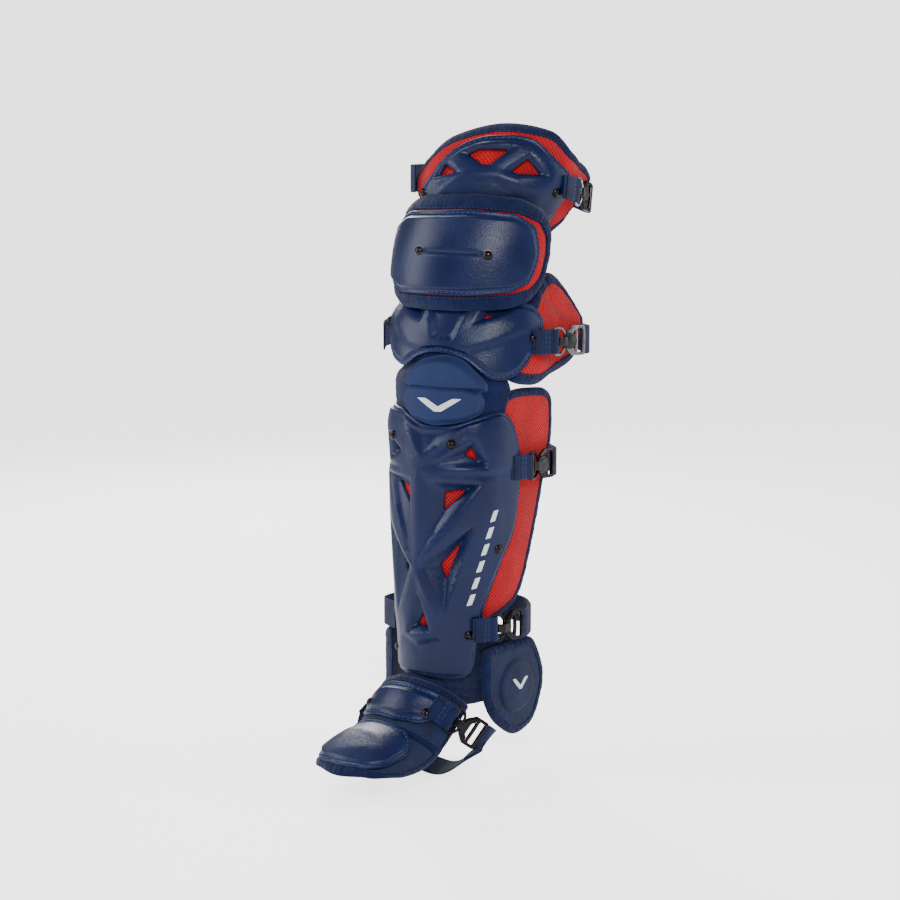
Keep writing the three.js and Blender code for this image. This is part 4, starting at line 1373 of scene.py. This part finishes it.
def make_skirt():
    """Gathered fabric below the shin shell."""
    outline = rounded(shin.flat([
        (-104, 96), (-92, 74), (-62, 64), (-30, 61), (30, 61), (60, 62), (90, 64), (104, 84),
        (106, 128), (62, 129), (-62, 129), (-104, 128)]),
        [10, 20, 30, 30, 30, 30, 20, 10, 5, 5, 5, 5], 2)
    flat, faces = fill(outline, [], 2.2, (), [0.8, 2.0])
    x, y = flat.T
    gathers = np.sin(y * 0.78 + 0.9 * np.sin(x * 0.11) + x * 0.02)
    pleats = np.sin(x * 0.62 + 1.4 * np.sin(y * 0.21))
    visible = np.maximum(smooth(106, 96, y), smooth(58, 68, np.abs(x)))
    edge = smooth(0, 4, distance(flat, outline))
    outer = -3.4 + visible * (1.2 * gathers + 0.5 * pleats + 0.8) * edge - 1.2 * (1 - edge)
    obj = solid("ankle_skirt_gathered", shin, flat, faces, outer, outer - 3.6, [HATCH, NAVY_MESH])
    refined(obj)
    settle(obj, "shin", "navy_mesh", "ankle_skirt")


def make_flap(side, surface):
    """Padded flap over one side of the ankle, with a raised oval boss."""
    body = f"ankle_flap_{side}"
    pad = Pad(surface, patch_outline(
        surface, [[0, 14], [0.4, 1], [1, 1]], [[0, 74], [0.5, 88], [1, 72]],
        [[-1, 44], [0.1, 24], [1, 34]], [[-1, 118], [1, 122]], passes=70),
        body, inner=0.6, outer=7.4)
    pad.sew(body, "navy_mesh", 8, proud=1.4, cap=1.6, suffix="pad")
    turn = circle(60)
    oval = np.stack([44 + 24 * np.cos(turn), 75 + 27 * np.sin(turn)], 1)
    flat, faces = fill(resampled(oval, 2.2), [], 3.0, (), [0.5, 1.2, 2.2, 3.4, 4.8, 6.6])
    edge = distance(flat, oval)
    dome = 11.6 - 3.4 * quarter_round(edge, 6) + 2.0 * smooth(4, 26, edge)
    boss = solid(f"ankle_boss_{side}_dome", surface, flat, faces, dome, 7.0, HATCH)
    refined(boss)
    settle(boss, body, "foam", f"ankle_boss_{side}")


def make_ankle():
    """Skirt, both flaps, and the printed chevron on the outer one."""
    make_skirt()
    make_flap("inner", flap_inner)
    make_flap("outer", flap_outer)
    mark("ankle_chevron", flap_outer,
         [(33, 84), (37, 84), (44, 76.5), (51, 84), (55, 84), (45.5, 72.5), (42.5, 72.5)],
         13.3, "ankle_flap_outer", "foam", thickness=0.5)


# ---- Straps and their hooks ----

RING_HALF, RING_REACH = 13, 12
TAB_WIDTH = 24
HOOK_NEAR = 13.5          # the hook's frame starts this far from its ring's bar
HOOK_HALF = 15
NOSE_WIDTH = 9
FOLD_LENGTH = 42          # of a strap's doubled end
ACROSS = np.array([0, 1.0, 0])


def clip_frame(surface, angle, z, lift, tilt, out):
    """Where a ring is sewn: x along the strap, y up it and z out of it."""
    origin, on = surface.at(surface.flat([(angle, z), (angle + 6, z)]), 3 + lift)
    along = Vector(on - origin).normalized()
    outward = along.cross(Vector((0, 0, 1))).normalized()
    turned = Matrix.Rotation(math.radians(-out), 4, "Y") @ Matrix.Rotation(
        math.radians(tilt), 4, "Z")
    return basis(origin, along, outward.cross(along), outward) @ turned


def spline(points, step):
    """Smooth path through a few points, centripetal, as evenly spaced points."""
    points = np.asarray(points, float)
    padded = np.vstack([2 * points[0] - points[1], points, 2 * points[-1] - points[-2]])
    knots = np.r_[0, np.cumsum(np.linalg.norm(np.diff(padded, axis=0), axis=1) ** 0.5)]
    path = []
    for i in range(1, len(padded) - 2):
        t0, t1, t2, t3 = knots[i - 1:i + 3]
        p0, p1, p2, p3 = padded[i - 1:i + 3]
        for t in np.linspace(t1, t2, 24, endpoint=i == len(padded) - 3):
            a = p0 + (p1 - p0) * (t - t0) / (t1 - t0)
            b = p1 + (p2 - p1) * (t - t1) / (t2 - t1)
            c = p2 + (p3 - p2) * (t - t2) / (t3 - t2)
            d = a + (b - a) * (t - t0) / (t2 - t0)
            e = b + (c - b) * (t - t1) / (t3 - t1)
            path.append(d + (e - d) * (t - t1) / (t2 - t1))
    path = np.array(path)
    along = distance_along(path)
    even = np.linspace(0, along[-1], max(4, round(along[-1] / step) + 1))
    return np.stack([np.interp(even, along, path[:, k]) for k in range(3)], 1)


def wire(name, path, radius, material):
    """Closed loop of round wire along a flat path in metres. radius is in millimetres."""
    tangents = np.roll(path, -1, 0) - np.roll(path, 1, 0)
    tangents /= np.linalg.norm(tangents, axis=1)[:, None]
    normal = np.linalg.svd(path - path.mean(0), full_matrices=False)[2][-1]
    outward = np.cross(tangents, normal)
    outward /= np.linalg.norm(outward, axis=1)[:, None]
    turn = circle(10)
    rings = path[:, None] + radius * MM * (
        np.cos(turn)[None, :, None] * outward[:, None] + np.sin(turn)[None, :, None] * normal)
    uv = grid(distance_along(path) / MM, turn * radius)
    return swept(name, rings, material, loop=True, uv=uv)


def band(name, centre, across, normal, width, thickness, material):
    """Flat webbing along a path in metres, with rounded edges."""
    half, thick = width / 2, thickness / 2
    section = [(-half, 0), (-half + 0.35, thick * 0.8), (-half + 1.2, thick),
               *((half * k, thick) for k in (-0.5, 0, 0.5)), (half - 1.2, thick),
               (half - 0.35, thick * 0.8), (half, 0), (half - 0.35, -thick * 0.8),
               (half - 1.2, -thick), *((half * k, -thick) for k in (0.5, 0, -0.5)),
               (-half + 1.2, -thick), (-half + 0.35, -thick * 0.8)]
    rings = np.stack([centre + (across * u + normal * v) * MM for u, v in section], 1)
    along = distance_along(centre) / MM
    uv = np.array([(a, u) for a in along for u, _ in section])
    return swept(name, rings, material, uv=uv, sharp=50)


def ribbon(name, matrix, profile, step, width, thickness, material):
    """Band across a clip, following an (x, z) profile in the clip's millimetres."""
    centre = spline([(x, 0, z) for x, z in profile], step)
    turn = np.array(matrix)[:3, :3].T
    return band(name, moved(centre, matrix), ACROSS @ turn,
                np.cross(directions(centre), ACROSS) @ turn, width, thickness, material)


def d_ring(name, matrix, body, material, node):
    """Wire ring: a bar across the tab and a bow toward the hook."""
    side, bow = RING_REACH * 0.62, RING_HALF * 0.55
    flat = rounded([(0, -RING_HALF), (0, RING_HALF), (side, RING_HALF), (RING_REACH, bow),
                    (RING_REACH, -bow), (side, -RING_HALF)], [1.8, 1.8, 6, 6, 6, 6], 0.7)
    obj = wire(name, moved(np.c_[flat, np.zeros(len(flat))], matrix), WIRE, material)
    settle(obj, body, "chrome", node)


def tab_fold(name, matrix, body, node):
    """Webbing that comes from under the shell, wraps the ring's bar and doubles back."""
    profile = [(-23, -4.2), (-16, -2.6), (-9, -1.6), (-3.5, -2.3), (0.4, -2.75), (2.6, -1.4),
               (2.8, 1.0), (1.0, 2.6), (-2.0, 2.5), (-6, 1.0), (-12, 0.1), (-17.0, -0.9),
               (-21, -2.3)]
    obj = ribbon(name, matrix, profile, 0.9, TAB_WIDTH, 1.7, ELASTIC)
    settle(obj, body, "webbing", node)
    rows = [(x, TAB_WIDTH * ((k + 0.5) / 5 - 0.5)) for x in (-8.0, -12.5) for k in range(5)]
    stitch_lines(f"{name}_stitches", matrix,
                 [np.array([(x, y - 1.5, 1.5), (x, y + 1.5, 1.5)]) for x, y in rows], body)


def stitch_lines(name, matrix, lines, body):
    """Short straight stitches in a clip's own millimetres."""
    stations, sides = 5, 6
    turn = circle(sides)
    thick = 0.32 * np.sqrt(np.sin(np.linspace(0.15, math.pi - 0.15, stations)))
    out = np.array([0, 0, 1.0])
    parts = []
    for start, end in lines:
        side = np.cross(end - start, out)
        side /= np.linalg.norm(side)
        rings = np.linspace(start, end, stations)[:, None] + thick[:, None, None] * (
            np.cos(turn)[None, :, None] * side + np.sin(turn)[None, :, None] * out)
        parts.append((moved(rings.reshape(-1, 3), matrix), skin((stations, sides))))
    uv = np.vstack([points[:, :2] / MM for points, _ in parts])
    settle(joined(name, parts, STITCH, uv), body, "webbing")


def plate(name, matrix, outline, holes, low, high, material, bevel, arch):
    """Flat plate with holes, rounded at its edges and bowed by arch, in a clip's own plane."""
    flat, faces = fill(outline, holes, 3.0, (), [bevel * 0.35, bevel])
    edge = np.min([distance(flat, loop) for loop in (outline, *holes)], 0)
    off = bevel * quarter_round(edge, bevel)
    bow = arch * (flat[:, 1] / abs(outline[:, 1]).max()) ** 2
    front = moved(np.c_[flat, high - off - bow], matrix)
    back = moved(np.c_[flat, low + off - bow], matrix)
    return slab(name, front, back, flat, faces, material, sharp=35)


def hook_piece(name, matrix, waist, knob, arch, metal, body, node):
    """The strap's hook: a slotted frame with a nose that holds the ring's bow. knob is the
    radius of the button on its nose, if it has one."""
    near, far, half = HOOK_NEAR, HOOK_END, HOOK_HALF
    outline = rounded([(near, -waist), (near, waist), (near + 8.5, half), (far, half),
                       (far, -half), (near + 8.5, -half)], [3, 3, 5, 3, 3, 5], 1.0)
    strap_slot = rounded([(far - 9.5, -half + 3.4), (far - 9.5, half - 3.4),
                          (far - 4.0, half - 3.4), (far - 4.0, -half + 3.4)], 1.3, 1.0)
    window = rounded([(near + 7.0, -waist + 2.4), (near + 7.0, waist - 2.4),
                      (near + 11.5, half - 5.0), (far - 13.2, half - 5.0),
                      (far - 13.2, -half + 5.0), (near + 11.5, -half + 5.0)], 1.8, 1.0)
    settle(plate(name, matrix, outline, [strap_slot, window], -1.3, 1.7, metal, 0.9, arch),
           body, "gunmetal", node)
    nose = [(near + 6, 0.6), (near + 1, 2.4), (near - 3.0, 4.6), (near - 6.5, 5.0),
            (near - 9.0, 3.4), (near - 9.6, 0.6), (near - 8.4, -1.6)]
    settle(ribbon(f"{name}_nose", matrix, nose, 0.7, NOSE_WIDTH, 2.4, BLACK if knob else metal),
           body, "gunmetal")
    if not knob:
        return
    profile = [(0, 3.6), (knob * 0.35, 3.5), (knob * 0.62, 3.1), (knob * 0.7, 2.2),
               (knob * 0.8, 2.3), (knob * 0.94, 1.9), (knob, 1.0), (knob, -0.6), (0, -0.6)]
    points, faces = lathe(profile, 36)
    points = points + (near + 3.0, 0, 1.9)
    button = mesh_object(f"{name}_knob", moved(points, matrix), faces, BLACK, points[:, :2],
                         sharp=40)
    outward_faces(button)
    settle(button, body, "gunmetal")


def strap_route(matrix, way, sewn, surface):
    """Path of a strap from its hook round the back of the leg to where it is sewn. A stop on
    the way is (x, y), at an even share of the climb, or (x, y, z)."""
    start = [(HOOK_END - 3.2, 0, 0), (HOOK_END + 3.0, 0, -0.6), (HOOK_END + 8.5, 0, -4.2)]
    leaving = moved(start, matrix)
    down = surface.at(surface.flat([(sewn[0] - 9, sewn[1]), sewn]), 5.4)
    low, high = leaving[-1][2] / MM + REST[2], down[0][2] / MM + REST[2]
    between = []
    for i, (x, y, *z) in enumerate(way):
        climb = low + (high - low) * (i + 1) / len(way)
        between.append(place((x, y, *(z or [climb]))))
    return np.vstack([leaving, between, down])


def make_strap(name, matrix, surface, way, sewn, lie):
    """Elastic strap with a fold round the hook's bar and a doubled end. lie is the direction
    across it once it has left the hook."""
    route = spline(strap_route(matrix, way, sewn, surface), 4.0 * MM)
    tangents = directions(route)
    along = distance_along(route) / MM
    share = smooth(4, 46, along)[:, None]
    across = np.array(matrix)[:3, 1] * (1 - share) + lie / np.linalg.norm(lie) * share
    across -= tangents * np.sum(across * tangents, axis=1)[:, None]
    across /= np.linalg.norm(across, axis=1)[:, None]
    normal = np.cross(tangents, across)
    sag = 0.5 * np.sin(along * 0.11) * smooth(20, 60, along)
    centre = route + normal * (sag * MM)[:, None]
    outer = band(f"{name}_elastic", centre, across, normal, STRAP_WIDTH, STRAP_THICKNESS, ELASTIC)
    last = int(np.searchsorted(along, FOLD_LENGTH))
    doubled = centre[:last] - normal[:last] * (STRAP_THICKNESS * 1.08 * MM)
    lap = band(f"{name}_turned_end", doubled[::-1], across[:last][::-1], normal[:last][::-1],
               STRAP_WIDTH - 0.8, STRAP_THICKNESS, ELASTIC)
    return outer, lap, centre


CLIPS = [
    dict(name="thigh", surface=thigh, section="thigh", at=(92, 566, 5, -12, 0),
         way=[(50, 130), (14, 146), (-34, 134), (-66, 98), (-71, 60)], sewn=(-64, 578),
         waist=8, knob=6.4, ring=CHROME),
    dict(name="knee", surface=knee, section="knee", at=(86, 421, 8, 0, 14),
         way=[(88, 84), (58, 112), (8, 124), (-60, 112), (-108, 58), (-106, 14)],
         sewn=(-70, 421), waist=9, knob=8.2, metal=GUNMETAL, ring=GUNMETAL),
    dict(name="upper_shin", surface=shin, section="shin", at=(103, 298, 5, 0, 0),
         way=[(62, 70), (36, 90), (-2, 96), (-50, 84), (-84, 44), (-87, -2)], sewn=(-66, 298),
         waist=9, knob=8.6),
    dict(name="lower_shin", surface=shin, section="shin", at=(70, 140, 6, 0, 0),
         way=[(59, 38), (36, 58), (-4, 66), (-50, 52), (-78, 12), (-78, -26)], sewn=(-44, 140),
         waist=8, arch=2.2),
    dict(name="foot", surface=foot, section="instep", at=(62, -100, 5, 0, 0),
         way=[(42, -66, 6), (0, -60, 1), (-40, -62, 4), (-60, -76, 24)], sewn=(-64, -100),
         waist=8, lie=(0, 1, 0.25)),
]


def hinge_strip(name, surface, corners, offsets, ends):
    """Soft fabric hinge behind two sections, where they meet."""
    outline = rounded(surface.flat(corners), 4, 2.4)
    flat, faces = fill(outline, [], 3.0, (), [1.0, 2.2])
    share = smooth(outline[:, 1].min(), outline[:, 1].max(), flat[:, 1])
    lift = offsets[0] + (offsets[1] - offsets[0]) * share + 0.3 * np.sin(flat[:, 1] * 1.3)
    obj = solid(name, surface, flat, faces, lift, lift - 2.0, [BINDING, BINDING])
    refined(obj)
    start, end = surface.at(surface.flat(ends), lift.mean())
    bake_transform(obj)


def make_clip(name, surface, section, at, way, sewn, waist, knob=None, arch=1.0,
              metal=BLACK_CHROME, ring=BLACK_CHROME, lie=(0, 0, 1)):
    """Tab, ring, hook and strap of one clip. The strap runs from the hook to where it is sewn on its
    section.
    """
    body = f"{name}_clip"
    matrix = clip_frame(surface, *at)
    d_ring(f"{name}_d_ring", matrix, body, ring, f"{body}_ring")
    tab_fold(f"{name}_tab", matrix, section, f"{body}_tab")
    hook_piece(f"{name}_hook_frame", matrix, waist, knob, arch, metal, body, f"{body}_hook")
    outer, lap, centre = make_strap(name, matrix, surface, way, sewn, lie)
    for obj in (outer, lap):
        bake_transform(obj)
    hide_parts(f"{body}_strap")


# ---- Floor, light and camera ----

PALE = 2.6                # brightness of the floor and the background, as the camera sees them
DIM = 0.3                 # the same, as they light the guard
LENS = 80.8
STAND = (1.2313, -1.533, 0.385)


def stage_material():
    """Pale studio floor that meets the background without an edge."""
    g = Graph("studio_floor", 0.55, Specular_IOR_Level=0.2)
    broad = g.noise(400.0, 2.0)
    g.shader.inputs["Emission Color"].default_value = (1, 1, 1, 1)
    seen = g.node("ShaderNodeLightPath").outputs["Is Camera Ray"]
    g.feed(g.shader.inputs["Emission Strength"], g.step(seen, 0.0, 1.0, DIM, PALE - 0.27))
    colour = g.mix(broad, linear(243, 244, 246), linear(248, 248, 249))
    return g.finish(colour, [(g.noise(3.0), 0.01)])


def area_light(name, stand, aim, size, watts):
    data = bpy.data.lights.new(name, "AREA")
    data.shape = "RECTANGLE"
    data.size, data.size_y = size
    data.energy = watts
    show(name, data, stand, aim)


def show(name, data, stand, aim):
    """A lamp or camera at a place, aimed at another."""
    obj = bpy.data.objects.new(name, data)
    obj.location = stand
    obj.rotation_euler = (Vector(aim) - Vector(stand)).to_track_quat("-Z", "Y").to_euler()
    bpy.context.scene.collection.objects.link(obj)
    return obj


def make_stage():
    """Floor, background, lights and camera."""
    low, far = CAD_BOX[0][2] - 0.001, 40
    corners = [(-far, -far, low), (far, -far, low), (far, far, low), (-far, far, low)]
    mesh_object("floor", corners, [(0, 1, 2, 3)], stage_material())
    world = bpy.data.worlds.new("studio")
    world.use_nodes = True
    tree = world.node_tree
    background = tree.nodes["Background"]
    background.inputs["Color"].default_value = (1, 1, 1, 1)
    seen = tree.nodes.new("ShaderNodeMapRange")
    seen.inputs["To Min"].default_value = DIM
    seen.inputs["To Max"].default_value = PALE
    tree.links.new(tree.nodes.new("ShaderNodeLightPath").outputs["Is Camera Ray"],
                   seen.inputs["Value"])
    tree.links.new(seen.outputs[0], background.inputs["Strength"])
    bpy.context.scene.world = world
    aim = (0, 0.03, 0.12)
    area_light("key", (1.3, -1.7, 1.5), aim, (0.8, 0.8), 34)
    area_light("side", (-1.5, -1.1, 0.9), aim, (0.5, 1.6), 22)
    area_light("rim", (-1.2, 1.0, 1.1), aim, (0.6, 1.6), 30)
    area_light("back", (1.5, 1.3, 0.8), aim, (0.9, 1.6), 16)
    camera = bpy.data.cameras.new("view")
    camera.lens = LENS
    camera.sensor_width = 36
    camera.shift_x = -0.0122
    camera.shift_y = -0.010
    camera.clip_end = 30
    bpy.context.scene.camera = show("view", camera, STAND, (0, 0.043, 0.103))


make_shin()
make_foam_block()
make_flex()
make_knee()
make_kneecap()
make_thigh()
make_foot()
make_ankle()
hinge_strip("knee_kneecap_hinge", knee, [(-56, 440), (56, 440), (56, 480), (-56, 480)],
            (-5.6, -5.6), [(0, 448), (0, 472)])
hinge_strip("kneecap_thigh_hinge", thigh, [(-44, 512), (50, 512), (50, 552), (-44, 552)],
            (-10.4, -9.6), [(3, 520), (3, 544)])
hinge_strip("instep_shin_hinge", foot, [(-44, -92), (44, -92), (44, -78), (-44, -78)],
            (-5.4, -6.0), [(0, -90), (0, -80)])
hinge_strip("toe_instep_hinge", foot, [(-66, -128), (66, -128), (66, -106), (-66, -106)],
            (-7.4, -6.4), [(0, -125), (0, -110)])
for each_clip in CLIPS:
    make_clip(**each_clip)
make_stage()
